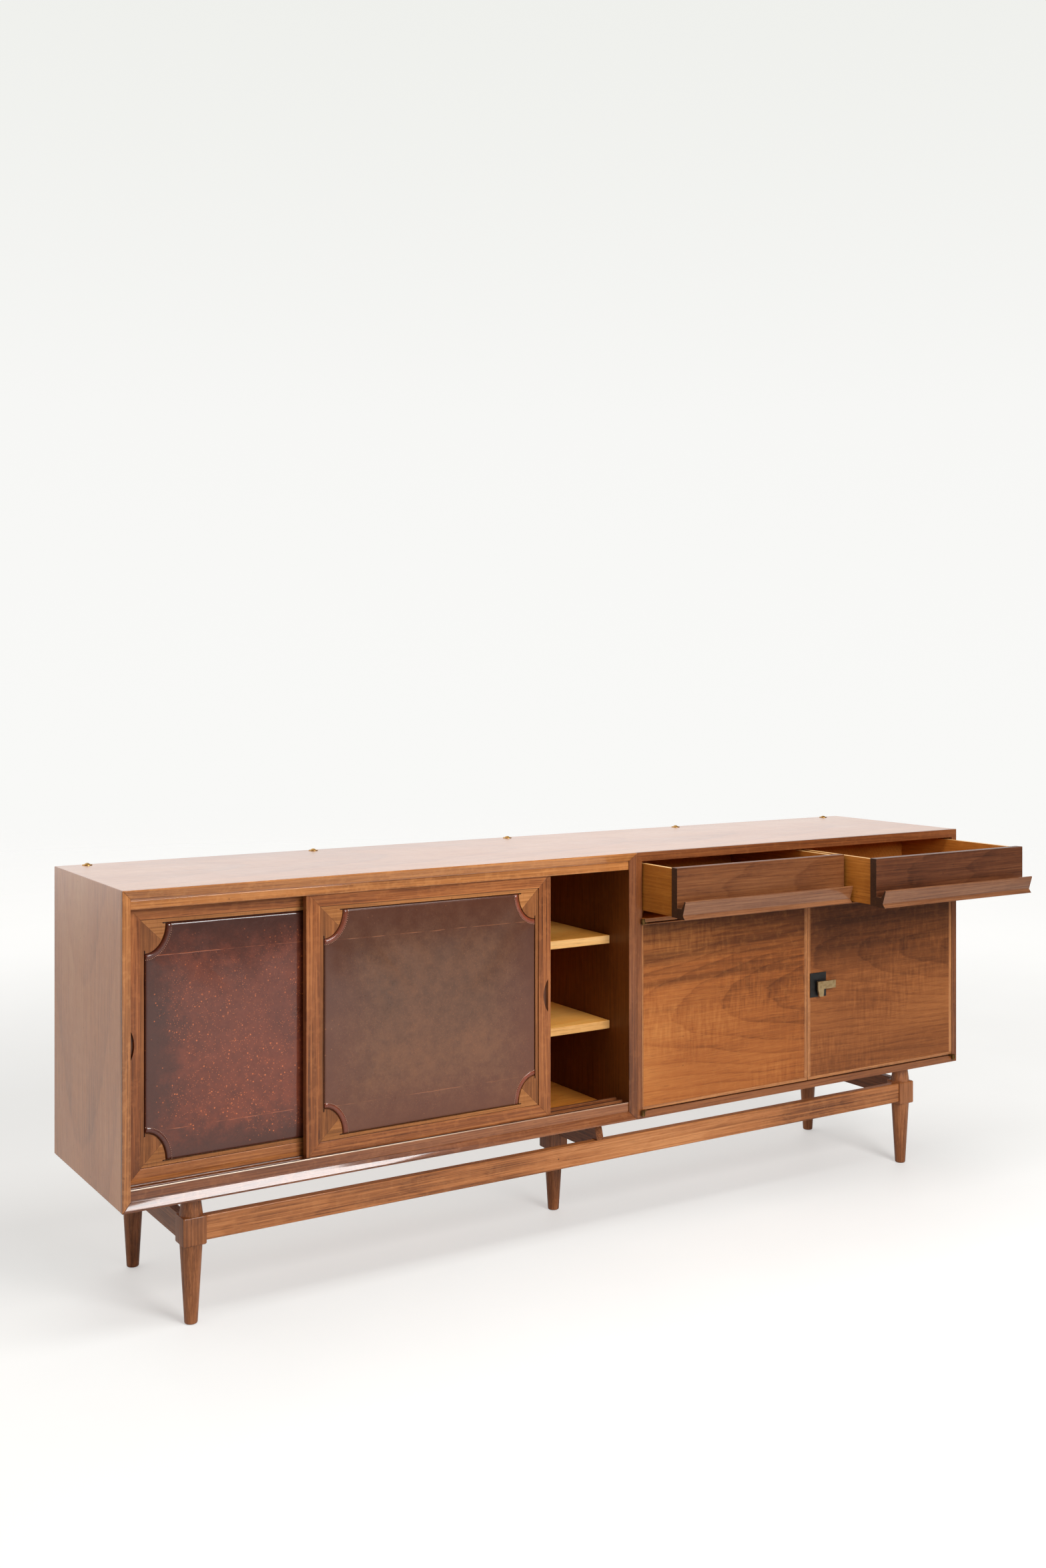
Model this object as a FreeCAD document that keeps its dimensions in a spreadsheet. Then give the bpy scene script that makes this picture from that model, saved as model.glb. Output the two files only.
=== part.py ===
import FreeCAD, Part
import math
import os
import re

import Sketcher

# A long low sideboard: a left bay behind two sliding leather-panelled doors, a right bay
# with two lipped drawers over a pair of pivot-hung doors, all on a low turned-leg frame.
# X runs along the length, the front faces -Y, and the origin is on the floor under the
# centre leg.  Lengths are millimetres.

DIMENSIONS = {
    # case
    "case_length": (2400, "length of the case"),
    "case_depth": (486, "depth of the case"),
    "case_height": (654, "height of the case"),
    "case_floor": (272, "underside of the case above the floor"),
    "left_bay_width": (1287, "outside width of the sliding-door bay"),
    "side_thick": (18, "end boards and left bay partition"),
    "top_thick": (22, "top board"),
    "bottom_thick": (18, "bottom board"),
    "bay_wall_thick": (14, "right bay's own left wall"),
    "back_thick": (8, "back panels"),
    "back_inset": (6, "back panels in from the rear edges"),
    # front edges
    "frame_width": (20, "mitred moulding round the sliding-door bay"),
    "frame_depth": (10, "depth of moulding and of the case lippings"),
    "frame_flat": (4, "flat outer edge of the moulding"),
    "frame_slope": (7, "how far the moulding falls back to its inner edge"),
    # door tracks
    "fascia_height": (20, "upper track beam"),
    "sill_height": (26, "lower track beam"),
    "track_lip": (6.5, "outer lips of the tracks"),
    "track_ridge": (7, "ridge between the two grooves"),
    "groove_width": (19, "track grooves"),
    "sill_groove": (8, "depth of the lower grooves"),
    "fascia_groove": (13, "depth of the upper grooves"),
    # sliding doors
    "slider_width": (632, "width of a sliding door"),
    "slider_thick": (17, "thickness of a sliding door"),
    "slider_rise": (8, "how far a door stands up into the upper groove"),
    "slider_play": (0.5, "clearance under and beside a sliding door"),
    "front_slider_shift": (394.5, "front sliding door, in from the left wall"),
    "stile_width": (33, "stiles of a sliding door"),
    "slider_rail_width": (35, "rails of a sliding door"),
    "frieze_step": (2.5, "frieze board behind the face of the stiles"),
    "frieze_thick": (12, "frieze board"),
    "leather_margin": (10, "frieze showing round the leather panel"),
    "leather_gap": (1.5, "shadow gap round the leather panel"),
    "kerf_run": (8, "how far the straight gaps run on past a scoop"),
    "kerf_depth": (4, "depth of the straight gaps past a scoop"),
    "leather_thick": (6, "leather covered panel"),
    "leather_proud": (1.5, "leather face in front of the frieze board"),
    "scoop_width": (46, "scooped corner, along the door"),
    "scoop_height": (62, "scooped corner, up the door"),
    "pull_inset": (7, "straight side of the finger recess from the door edge"),
    "pull_width": (13, "finger recess, along the door"),
    "pull_height": (78, "finger recess, up the door"),
    "pull_depth": (6, "finger recess, into the door"),
    "pull_height_middle": (600, "middle of the finger recesses above the floor"),
    # shelves
    "shelf_thick": (20, "shelves"),
    "shelf_setback": (91, "front edge of a shelf behind the case front"),
    "upper_shelf_top": (713, "top of the upper shelf"),
    "lower_shelf_top": (501, "top of the lower shelf"),
    "cupboard_shelf_top": (520, "top of the shelf in the hinged-door cupboard"),
    "shelf_play": (1, "clearance at each end of a shelf"),
    "pin_radius": (3, "shelf pins"),
    "pin_reach": (10, "shelf pins, out of the wall"),
    "pin_inset": (40, "shelf pins in from the shelf's front and back edges"),
    # drawers
    "drawer_bay_height": (141, "drawer opening"),
    "dust_thick": (10, "board under the drawers"),
    "divider_thick": (12, "upright between the drawers"),
    "divider_setback": (27, "upright and runners behind the case front"),
    "runner_width": (24, "drawer runners"),
    "runner_height": (19.5, "drawer runners"),
    "drawer_gap": (1.5, "gap round the drawer fronts and doors"),
    "drawer_front_thick": (21, "drawer fronts"),
    "drawer_front_bottom": (782, "lower edge of the drawer fronts"),
    "drawer_front_top": (901, "upper edge of the drawer fronts"),
    "drawer_side_thick": (12, "drawer sides and back"),
    "drawer_wall_inset": (3, "outer drawer side in from the end of the front"),
    "drawer_divider_inset": (6.75, "inner drawer side in from the end of the front"),
    "drawer_side_height": (115, "drawer sides"),
    "drawer_box_length": (418, "drawer sides, front to back"),
    "drawer_bottom_thick": (6, "drawer bottoms"),
    "drawer_bottom_rise": (6, "drawer bottoms above the sides' lower edge"),
    "left_drawer_open": (138, "left drawer drawn out"),
    "right_drawer_open": (251, "right drawer drawn out"),
    # drawer pull, a lipped rail under the whole front
    "lip_bottom": (780.5, "underside of the pull"),
    "lip_crease": (10, "crease above the underside"),
    "lip_root": (25.5, "floor of the finger gap above the underside"),
    "lip_rise": (43.5, "top of the upper lip above the underside"),
    "lip_bottom_reach": (30, "lower edge in front of the drawer front"),
    "lip_crease_reach": (22.5, "crease in front of the drawer front"),
    "lip_tip_reach": (33, "upper lip in front of the drawer front"),
    "lip_edge": (3.5, "thickness of the upper lip's edge"),
    "lip_gap": (17, "finger gap at its floor"),
    # hinged doors
    "door_bottom": (293, "lower edge of the hinged doors"),
    "door_top": (750, "upper edge of the hinged doors"),
    "door_thick": (20, "hinged doors"),
    "meeting_lipping": (10, "solid edge at the meeting stiles"),
    "bottom_lipping": (8, "solid edge at the foot of the doors"),
    "slim_lipping": (3, "solid edge at the head and hinge side"),
    "pivot_radius": (5, "barrels of the pivot hinges"),
    "pivot_pin_radius": (2, "pins of the pivot hinges"),
    "pivot_play": (0.05, "running clearance of pins and spindle"),
    "pivot_height": (11, "barrels of the pivot hinges"),
    "leaf_thick": (1.2, "hinge leaves"),
    "leaf_width": (10, "hinge leaves, along the door"),
    "leaf_length": (25, "hinge leaves, into the case"),
    # latch
    "plate_left": (649.5, "left edge of the latch plate"),
    "plate_width": (56, "latch plate"),
    "plate_height": (64, "latch plate"),
    "plate_bottom": (509.5, "lower edge of the latch plate"),
    "plate_thick": (2, "latch plate"),
    "spindle_radius": (4, "latch spindle"),
    "lever_thick": (6, "latch lever"),
    "lever_stand": (6, "lever in front of the plate"),
    "lever_reach": (52, "lever arm from the spindle"),
    "lever_half": (10.5, "half the height of the lever arm"),
    "lever_tail": (30, "lever tail below the spindle"),
    "lever_tail_width": (14, "lever tail at its foot"),
    "cam_length": (46, "latch cam from the spindle"),
    "cam_width": (14, "latch cam"),
    "cam_thick": (4, "latch cam"),
    # base frame
    "leg_x": (1035, "corner legs from the middle, along the case"),
    "leg_y": (189, "corner legs from the middle, across the case"),
    "block_side": (52, "square blocks of the legs"),
    "block_bottom": (168, "underside of the corner blocks"),
    "block_top": (229, "top of the corner blocks"),
    "centre_block_bottom": (158, "underside of the centre leg's block"),
    "leg_top_radius": (24, "turned legs under the block"),
    "foot_radius": (14, "turned legs at the floor"),
    "foot_round": (3, "chamfer at the foot"),
    "neck_base_radius": (25, "turned necks at the block"),
    "neck_top_radius": (19, "turned necks at the case"),
    "rail_thick": (20, "base rails"),
    "rail_bottom": (175, "underside of the base rails"),
    "rail_top": (227, "top of the base rails"),
    "rail_recess": (5, "base rails behind the block faces"),
    "cross_thick": (20, "cross bar over the centre leg"),
    "cross_bottom": (198, "underside of the cross bar"),
    "cross_slope": (13, "how far the cross bar's ends lean out"),
    # domed brass fittings in a row along the back of the top
    "fitting_radius": (11.5, "flange of a brass fitting"),
    "fitting_flange": (1.6, "thickness of the flange"),
    "dome_radius": (7, "foot of the dome on the flange"),
    "dome_rise": (3.4, "dome above the flange"),
    "fitting_inset": (18, "fittings in from the rear edge"),
    "fitting_end": (70, "end fittings in from the ends of the top"),
}
FITTING_COUNT = 5

# Places worked out from the driving dimensions.
PLACES = {
    "left_x": "-case_length / 2",
    "right_x": "case_length / 2",
    "front_y": "-case_depth / 2",
    "back_y": "case_depth / 2",
    "edge_y": "front_y + frame_depth",
    "panel_y": "back_y - back_inset - back_thick",
    "case_top": "case_floor + case_height",
    "ceiling_z": "case_top - top_thick",
    "deck_z": "case_floor + bottom_thick",
    "inner_left_x": "left_x + side_thick",
    "seam_x": "left_x + left_bay_width",
    "partition_x": "seam_x - side_thick",
    "bay_x": "seam_x + bay_wall_thick",
    "bay_end_x": "right_x - side_thick",
    "bay_middle_x": "(bay_x + bay_end_x) / 2",
    "track_length": "left_bay_width - 2 * side_thick",
    "track_depth": "2 * track_lip + 2 * groove_width + track_ridge",
    "front_groove_y": "edge_y + track_lip",
    "rear_groove_y": "front_groove_y + groove_width + track_ridge",
    "sill_z": "deck_z + sill_height",
    "fascia_z": "ceiling_z - fascia_height",
    "slider_z": "sill_z - sill_groove + slider_play",
    "slider_height": "fascia_z + slider_rise - slider_z",
    "slider_side_play": "(groove_width - slider_thick) / 2",
    "drawer_deck_z": "ceiling_z - drawer_bay_height",
    "cell_width": "bay_middle_x - bay_x - drawer_gap - drawer_gap / 2",
    "shelf_depth": "panel_y - front_y - shelf_setback - shelf_play",
    "axis_y": "front_y - pivot_radius",
    "spindle_x": "plate_left + plate_width / 2",
    "spindle_z": "plate_bottom + plate_height / 2",
    "rail_y": "leg_y + block_side / 2 - rail_recess - rail_thick",
    "rail_x": "leg_x + block_side / 2 - rail_recess - rail_thick",
}

doc = FreeCAD.newDocument("SideboardBuffet")
NODES = []


def bound(text):
    """Expression text with every place written out and every dimension read from the sheet."""
    def swap(match):
        word = match.group(0)
        if word in PLACES:
            return "(" + bound(PLACES[word]) + ")"
        if word in DIMENSIONS:
            return "Dims." + word
        return word
    return re.sub(r"[a-z_]\w*", swap, str(text))


def make_sheet():
    sheet = doc.addObject("Spreadsheet::Sheet", "Dims")
    for row, (alias, (value, note)) in enumerate(DIMENSIONS.items(), start=1):
        sheet.set("A%d" % row, note)
        sheet.set("B%d" % row, str(value))
        sheet.setAlias("B%d" % row, alias)
    doc.recompute()


def place(piece, base):
    """Bind a piece's position to three expressions; "0" leaves that axis alone."""
    for axis, text in zip("xyz", base):
        if text != "0":
            piece.setExpression("Placement.Base." + axis, bound(text))


def node(piece, label):
    """Register a finished piece as one named node."""
    piece.Label = label
    NODES.append(piece)
    return piece


def board(label, start, size):
    """A squared board from its lowest corner and its three sizes."""
    box = doc.addObject("Part::Box", label)
    for name, text in zip(("Length", "Width", "Height"), size):
        box.setExpression(name, bound(text))
    place(box, start)
    return box


def round_bar(label, radius, length, start, turn=None):
    """A plain cylinder that stands on its start point, or lies along turn's axis."""
    bar = doc.addObject("Part::Cylinder", label)
    bar.setExpression("Radius", bound(radius))
    bar.setExpression("Height", bound(length))
    if turn is not None:
        bar.Placement = FreeCAD.Placement(FreeCAD.Vector(0, 0, 0), turn)
    place(bar, start)
    return bar


def group(label, pieces):
    """Several separate solids that share one node."""
    bundle = doc.addObject("Part::Compound", label)
    bundle.Links = pieces
    return bundle


def cut(label, base, tool):
    piece = doc.addObject("Part::Cut", label)
    piece.Base = base
    piece.Tool = tool
    return piece


def fuse(label, pieces):
    joined = doc.addObject("Part::MultiFuse", label)
    joined.Shapes = pieces
    return joined


def origin_plane(body, role):
    return next(item for item in body.Origin.OriginFeatures if item.Role == role)


def outline(body, name, role, points):
    """A closed polygon sketch whose corners are bound to pairs of expressions."""
    sketch = body.newObject("Sketcher::SketchObject", name)
    sketch.AttachmentSupport = (origin_plane(body, role), "")
    sketch.MapMode = "FlatFace"
    count = len(points)
    corners = [FreeCAD.Vector(100 * math.cos(2 * math.pi * i / count),
                              100 * math.sin(2 * math.pi * i / count), 0) for i in range(count)]
    for i in range(count):
        sketch.addGeometry(Part.LineSegment(corners[i], corners[(i + 1) % count]), False)
    for i in range(count):
        sketch.addConstraint(Sketcher.Constraint("Coincident", i, 2, (i + 1) % count, 1))
    for i, (across, up) in enumerate(points):
        for kind, text, axis in (("DistanceX", across, -2), ("DistanceY", up, -1)):
            if text == "0":
                sketch.addConstraint(Sketcher.Constraint("PointOnObject", i, 1, axis))
                continue
            index = sketch.addConstraint(Sketcher.Constraint(kind, -1, 1, i, 1, 50.0))
            sketch.setExpression("Constraints[%d]" % index, bound(text))
    return sketch


def prism(label, role, points, start, length):
    """A padded outline: XZ outlines run to +Y, YZ outlines to +X and XY outlines to +Z."""
    body = doc.addObject("PartDesign::Body", label)
    sketch = outline(body, label + "_outline", role, points)
    pad = body.newObject("PartDesign::Pad", label + "_pad")
    pad.Profile = sketch
    pad.setExpression("Length", bound(length))
    pad.Reversed = role == "XZ_Plane"
    sketch.Visibility = False
    place(body, start)
    return body


# ---------------------------------------------------------------- case

def make_case():
    # Four boards mitred at the corners, cut back at the front for moulding and lippings.
    depth = "case_depth - frame_depth"
    start = ("0", "edge_y", "0")
    rings = {
        "top_panel": (("left_x", "case_top"), ("right_x", "case_top"),
                      ("bay_end_x", "ceiling_z"), ("inner_left_x", "ceiling_z")),
        "bottom_panel": (("left_x", "case_floor"), ("inner_left_x", "deck_z"),
                         ("bay_end_x", "deck_z"), ("right_x", "case_floor")),
        "left_side_panel": (("left_x", "case_floor"), ("left_x", "case_top"),
                            ("inner_left_x", "ceiling_z"), ("inner_left_x", "deck_z")),
        "right_side_panel": (("right_x", "case_floor"), ("bay_end_x", "deck_z"),
                             ("bay_end_x", "ceiling_z"), ("right_x", "case_top")),
    }
    for label, points in rings.items():
        node(prism(label, "XZ_Plane", points, start, depth), label)
    inside = "ceiling_z - deck_z"
    node(board("left_bay_partition", ("partition_x", "edge_y", "deck_z"),
               ("side_thick", "panel_y - edge_y", inside)), "left_bay_partition")
    node(board("right_bay_partition", ("seam_x", "edge_y", "deck_z"),
               ("bay_wall_thick", "panel_y - edge_y", inside)), "right_bay_partition")
    backs = [board("left_back", ("inner_left_x", "panel_y", "deck_z"),
                   ("seam_x - inner_left_x", "back_thick", inside)),
             board("right_back", ("seam_x", "panel_y", "deck_z"),
                   ("bay_end_x - seam_x", "back_thick", inside))]
    node(group("back_panels", backs), "back_panels")
    lippings = [
        board("lipping_top", ("seam_x", "front_y", "ceiling_z"),
              ("right_x - seam_x", "frame_depth", "top_thick")),
        board("lipping_bottom", ("seam_x", "front_y", "case_floor"),
              ("right_x - seam_x", "frame_depth", "bottom_thick")),
        board("lipping_left", ("seam_x", "front_y", "deck_z"),
              ("bay_wall_thick", "frame_depth", inside)),
        board("lipping_right", ("bay_end_x", "front_y", "deck_z"),
              ("side_thick", "frame_depth", inside)),
    ]
    node(group("case_edge_lippings", lippings), "case_edge_lippings")


def make_frame_mouldings():
    # Each length has the same section; its ends are mitred by two 45 degree wedges.
    section_out = "frame_slope"
    for label, low, edge in (("frame_moulding_bottom", "case_floor", 1),
                             ("frame_moulding_top", "case_top", -1)):
        profile = [("front_y", low), ("front_y", "%s + %d * frame_flat" % (low, edge)),
                   ("front_y + " + section_out, "%s + %d * frame_width" % (low, edge)),
                   ("edge_y", "%s + %d * frame_width" % (low, edge)), ("edge_y", low)]
        length = prism(label + "_length", "YZ_Plane", profile, ("left_x", "0", "0"), "left_bay_width")
        keep = [("left_x", low), ("seam_x", low),
                ("seam_x - frame_width", "%s + %d * frame_width" % (low, edge)),
                ("left_x + frame_width", "%s + %d * frame_width" % (low, edge))]
        mitre = prism(label + "_mitre", "XZ_Plane", keep, ("0", "front_y - 1", "0"), "frame_depth + 2")
        piece = doc.addObject("Part::Common", label)
        piece.Base = length
        piece.Tool = mitre
        node(piece, label)
    for label, side, edge in (("frame_moulding_left", "left_x", 1),
                              ("frame_moulding_right", "seam_x", -1)):
        inner = "%s + %d * frame_width" % (side, edge)
        profile = [(side, "front_y"), ("%s + %d * frame_flat" % (side, edge), "front_y"),
                   (inner, "front_y + " + section_out), (inner, "edge_y"), (side, "edge_y")]
        length = prism(label + "_length", "XY_Plane", profile, ("0", "0", "case_floor"), "case_height")
        keep = [(side, "case_floor"), (side, "case_top"),
                (inner, "case_top - frame_width"), (inner, "case_floor + frame_width")]
        mitre = prism(label + "_mitre", "XZ_Plane", keep, ("0", "front_y - 1", "0"), "frame_depth + 2")
        piece = doc.addObject("Part::Common", label)
        piece.Base = length
        piece.Tool = mitre
        node(piece, label)


def make_tracks():
    for label, low, high, floor in (
            ("lower_door_track", "deck_z", "sill_z", "sill_z - sill_groove"),
            ("upper_door_track", "ceiling_z", "fascia_z", "fascia_z + fascia_groove")):
        grooves = []
        for y in ("front_groove_y", "rear_groove_y"):
            grooves += [(y, high), (y, floor), (y + " + groove_width", floor),
                        (y + " + groove_width", high)]
        section = [("edge_y", low), ("edge_y", high)] + grooves
        section += [("edge_y + track_depth", high), ("edge_y + track_depth", low)]
        node(prism(label, "YZ_Plane", section, ("inner_left_x", "0", "0"), "track_length"), label)


def make_shelves():
    shelf_y = "front_y + shelf_setback"
    pins = []
    sideways = FreeCAD.Rotation(FreeCAD.Vector(0, 1, 0), 90)
    shelves = (("upper_shelf", "upper_shelf_top", "inner_left_x", "partition_x"),
               ("lower_shelf", "lower_shelf_top", "inner_left_x", "partition_x"),
               ("cupboard_shelf", "cupboard_shelf_top", "bay_x", "bay_end_x"))
    for label, top, left, right in shelves:
        node(board(label, (left + " + shelf_play", shelf_y, top + " - shelf_thick"),
                   ("%s - %s - 2 * shelf_play" % (right, left), "shelf_depth", "shelf_thick")), label)
        for side, x in (("left", left), ("right", right + " - pin_reach")):
            for end, y in (("front", shelf_y + " + pin_inset"),
                           ("back", shelf_y + " + shelf_depth - pin_inset")):
                z = top + " - shelf_thick - pin_radius"
                name = "%s_pin_%s_%s" % (label, side, end)
                pins.append(round_bar(name, "pin_radius", "pin_reach", (x, y, z), sideways))
    node(group("shelf_pins", pins), "shelf_pins")


def make_drawer_bay():
    depth = "panel_y - front_y"
    node(board("drawer_dust_panel", ("bay_x", "front_y", "drawer_deck_z - dust_thick"),
               ("bay_end_x - bay_x", depth, "dust_thick")), "drawer_dust_panel")
    start_y = "front_y + divider_setback"
    inner_depth = depth + " - divider_setback"
    node(board("drawer_centre_divider",
               ("bay_middle_x - divider_thick / 2", start_y, "drawer_deck_z"),
               ("divider_thick", inner_depth, "drawer_bay_height")), "drawer_centre_divider")
    edges = ("bay_x", "bay_middle_x - divider_thick / 2 - runner_width",
             "bay_middle_x + divider_thick / 2", "bay_end_x - runner_width")
    runners = [board("runner_%d" % i, (x, start_y, "drawer_deck_z"),
                     ("runner_width", inner_depth, "runner_height")) for i, x in enumerate(edges)]
    node(group("drawer_runners", runners), "drawer_runners")


def make_fittings():
    # The dome is the cap of a sphere that is cut off level with the flange.
    sphere = "(pow(dome_radius; 2) + pow(dome_rise; 2)) / (2 * dome_rise)"
    fittings = []
    for i in range(FITTING_COUNT):
        share = "%d / %d" % (i, FITTING_COUNT - 1)
        x = "left_x + fitting_end + (case_length - 2 * fitting_end) * " + share
        y = "back_y - fitting_inset"
        flange = round_bar("fitting_flange_%d" % i, "fitting_radius", "fitting_flange",
                           (x, y, "case_top"))
        dome = doc.addObject("Part::Sphere", "fitting_dome_%d" % i)
        dome.setExpression("Radius", bound(sphere))
        dome.setExpression("Angle1", bound("asin(1 - dome_rise / (%s))" % sphere))
        place(dome, (x, y, "case_top + fitting_flange + dome_rise - " + sphere))
        fittings.append(fuse("fitting_%d" % i, [flange, dome]))
    node(group("brass_top_fittings", fittings), "brass_top_fittings")


# ---------------------------------------------------------------- base

def turned_leg(label, x, y, bottom, top, neck):
    """A turned leg with a square block and, if neck is true, a tapered neck above it."""
    body = doc.addObject("PartDesign::Body", label)
    profile = [("0", "0"), ("foot_radius - foot_round", "0"), ("foot_radius", "foot_round"),
               ("leg_top_radius", bottom)]
    if neck:
        profile += [("leg_top_radius", top), ("neck_base_radius", top),
                    ("neck_top_radius", "case_floor"), ("0", "case_floor")]
    else:
        profile += [("0", bottom)]
    sketch = outline(body, label + "_profile", "XZ_Plane", profile)
    turned = body.newObject("PartDesign::Revolution", label + "_turned")
    turned.Profile = sketch
    turned.ReferenceAxis = (sketch, ["V_Axis"])
    turned.Angle = 360
    half = "block_side / 2"
    square = outline(body, label + "_square", "XY_Plane",
                     [("-" + half, "-" + half), (half, "-" + half), (half, half), ("-" + half, half)])
    square.setExpression("AttachmentOffset.Base.z", bound(bottom))
    block = body.newObject("PartDesign::Pad", label + "_block")
    block.Profile = square
    block.setExpression("Length", bound("%s - %s" % (top, bottom)))
    place(body, (x, y, "0"))
    return body


def make_base():
    corners = (("front_left_leg", "-leg_x", "-leg_y"), ("front_right_leg", "leg_x", "-leg_y"),
               ("back_left_leg", "-leg_x", "leg_y"), ("back_right_leg", "leg_x", "leg_y"))
    for label, x, y in corners:
        node(turned_leg(label, x, y, "block_bottom", "block_top", True), label)
    leg = turned_leg("centre_leg_turned", "0", "0", "centre_block_bottom", "case_floor", False)
    slot = board("centre_leg_slot", ("-cross_thick / 2", "-block_side", "cross_bottom"),
                 ("cross_thick", "2 * block_side", "case_floor - cross_bottom + 1"))
    node(cut("centre_leg", leg, slot), "centre_leg")
    height = "rail_top - rail_bottom"
    span = "2 * leg_x - block_side"
    for label, y in (("base_front_rail", "-rail_y - rail_thick"), ("base_back_rail", "rail_y")):
        node(board(label, ("-leg_x + block_side / 2", y, "rail_bottom"),
                   (span, "rail_thick", height)), label)
    ends = [board("base_rail_%s" % side, (x, "-leg_y + block_side / 2", "rail_bottom"),
                  ("rail_thick", "2 * leg_y - block_side", height))
            for side, x in (("left", "-rail_x - rail_thick"), ("right", "rail_x"))]
    node(group("base_side_rails", ends), "base_side_rails")
    outer = "rail_y + rail_thick"
    bar = [("-(%s)" % outer, "rail_top"), ("-(%s - cross_slope)" % outer, "case_floor"),
           (outer + " - cross_slope", "case_floor"), (outer, "rail_top"),
           ("rail_y", "rail_top"), ("rail_y", "cross_bottom"),
           ("-rail_y", "cross_bottom"), ("-rail_y", "rail_top")]
    node(prism("base_cross_bar", "YZ_Plane", bar, ("-cross_thick / 2", "0", "0"), "cross_thick"),
         "base_cross_bar")


# ---------------------------------------------------------------- sliding doors

def leather_outline(label, x, y, margin, depth):
    """A slab on the door's leather field, grown by margin, less its four scooped corners."""
    side = "stile_width + leather_margin"
    foot = "slider_rail_width + leather_margin"
    wide = "slider_width - 2 * (%s)" % side
    tall = "slider_height - 2 * (%s)" % foot
    slab = board(label + "_slab",
                 ("%s + %s - %s" % (x, side, margin), y, "slider_z + %s - %s" % (foot, margin)),
                 ("%s + 2 * %s" % (wide, margin), depth, "%s + 2 * %s" % (tall, margin)))
    upright = FreeCAD.Rotation(FreeCAD.Vector(1, 1, 1), -120)
    scoops = []
    for i, (across, up) in enumerate(((0, 0), (1, 0), (0, 1), (1, 1))):
        ring = doc.addObject("Part::Ellipse", "%s_scoop_line_%d" % (label, i))
        ring.setExpression("MajorRadius", bound("scoop_height - " + margin))
        ring.setExpression("MinorRadius", bound("scoop_width - " + margin))
        ring.Placement = FreeCAD.Placement(FreeCAD.Vector(0, 0, 0), upright)
        place(ring, ("%s + %s + %d * (%s)" % (x, side, across, wide), y,
                     "slider_z + %s + %d * (%s)" % (foot, up, tall)))
        scoop = doc.addObject("Part::Extrusion", "%s_scoop_%d" % (label, i))
        scoop.Base = ring
        scoop.DirMode = "Custom"
        scoop.Dir = FreeCAD.Vector(0, 1, 0)
        scoop.setExpression("LengthFwd", bound(depth))
        scoop.Solid = True
        scoops.append(scoop)
    return cut(label, slab, fuse(label + "_scoops", scoops))


def saw_kerfs(name, x, y):
    """Four thin slots: the straight gaps run on a little past the ends of the scoops."""
    side = "%s + stile_width + leather_margin" % x
    foot = "slider_z + slider_rail_width + leather_margin"
    wide = "slider_width - 2 * (stile_width + leather_margin)"
    tall = "slider_height - 2 * (slider_rail_width + leather_margin)"
    across_x = side + " + scoop_width - kerf_run"
    across = wide + " - 2 * (scoop_width - kerf_run)"
    up_z = foot + " + scoop_height - kerf_run"
    up = tall + " - 2 * (scoop_height - kerf_run)"
    kerfs = []
    for end, z in (("lower", foot + " - leather_gap"), ("upper", "%s + %s" % (foot, tall))):
        kerfs.append(board("%s_kerf_%s" % (name, end), (across_x, y, z),
                           (across, "kerf_depth", "leather_gap")))
    for end, start in (("left", side + " - leather_gap"), ("right", "%s + %s" % (side, wide))):
        kerfs.append(board("%s_kerf_%s" % (name, end), (start, y, up_z),
                           ("leather_gap", "kerf_depth", up)))
    return kerfs


def finger_recess(label, x, y, opens_left):
    """A cutter for a crescent recess: a wide cylinder's flank with its axis upright."""
    # The crescent is the part of a flat round disc that lies past a chord.
    chord = "pull_height / 2"
    radius = "(pow(%s; 2) + pow(pull_width; 2)) / (2 * pull_width)" % chord
    flat = FreeCAD.Rotation(FreeCAD.Vector(1, 0, 0), -90)
    sign = 1 if opens_left else -1
    centre_x = "%s + %d * (pull_width - (%s))" % (x, sign, radius)
    disc = round_bar(label + "_disc", radius, "pull_depth + 1",
                     (centre_x, y + " - 1", "pull_height_middle"), flat)
    low_x = x if opens_left else x + " - pull_width"
    window = board(label + "_window", (low_x, y + " - 1", "pull_height_middle - pull_height"),
                   ("pull_width", "pull_depth + 1", "2 * pull_height"))
    piece = doc.addObject("Part::Common", label)
    piece.Base = disc
    piece.Tool = window
    return piece


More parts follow.
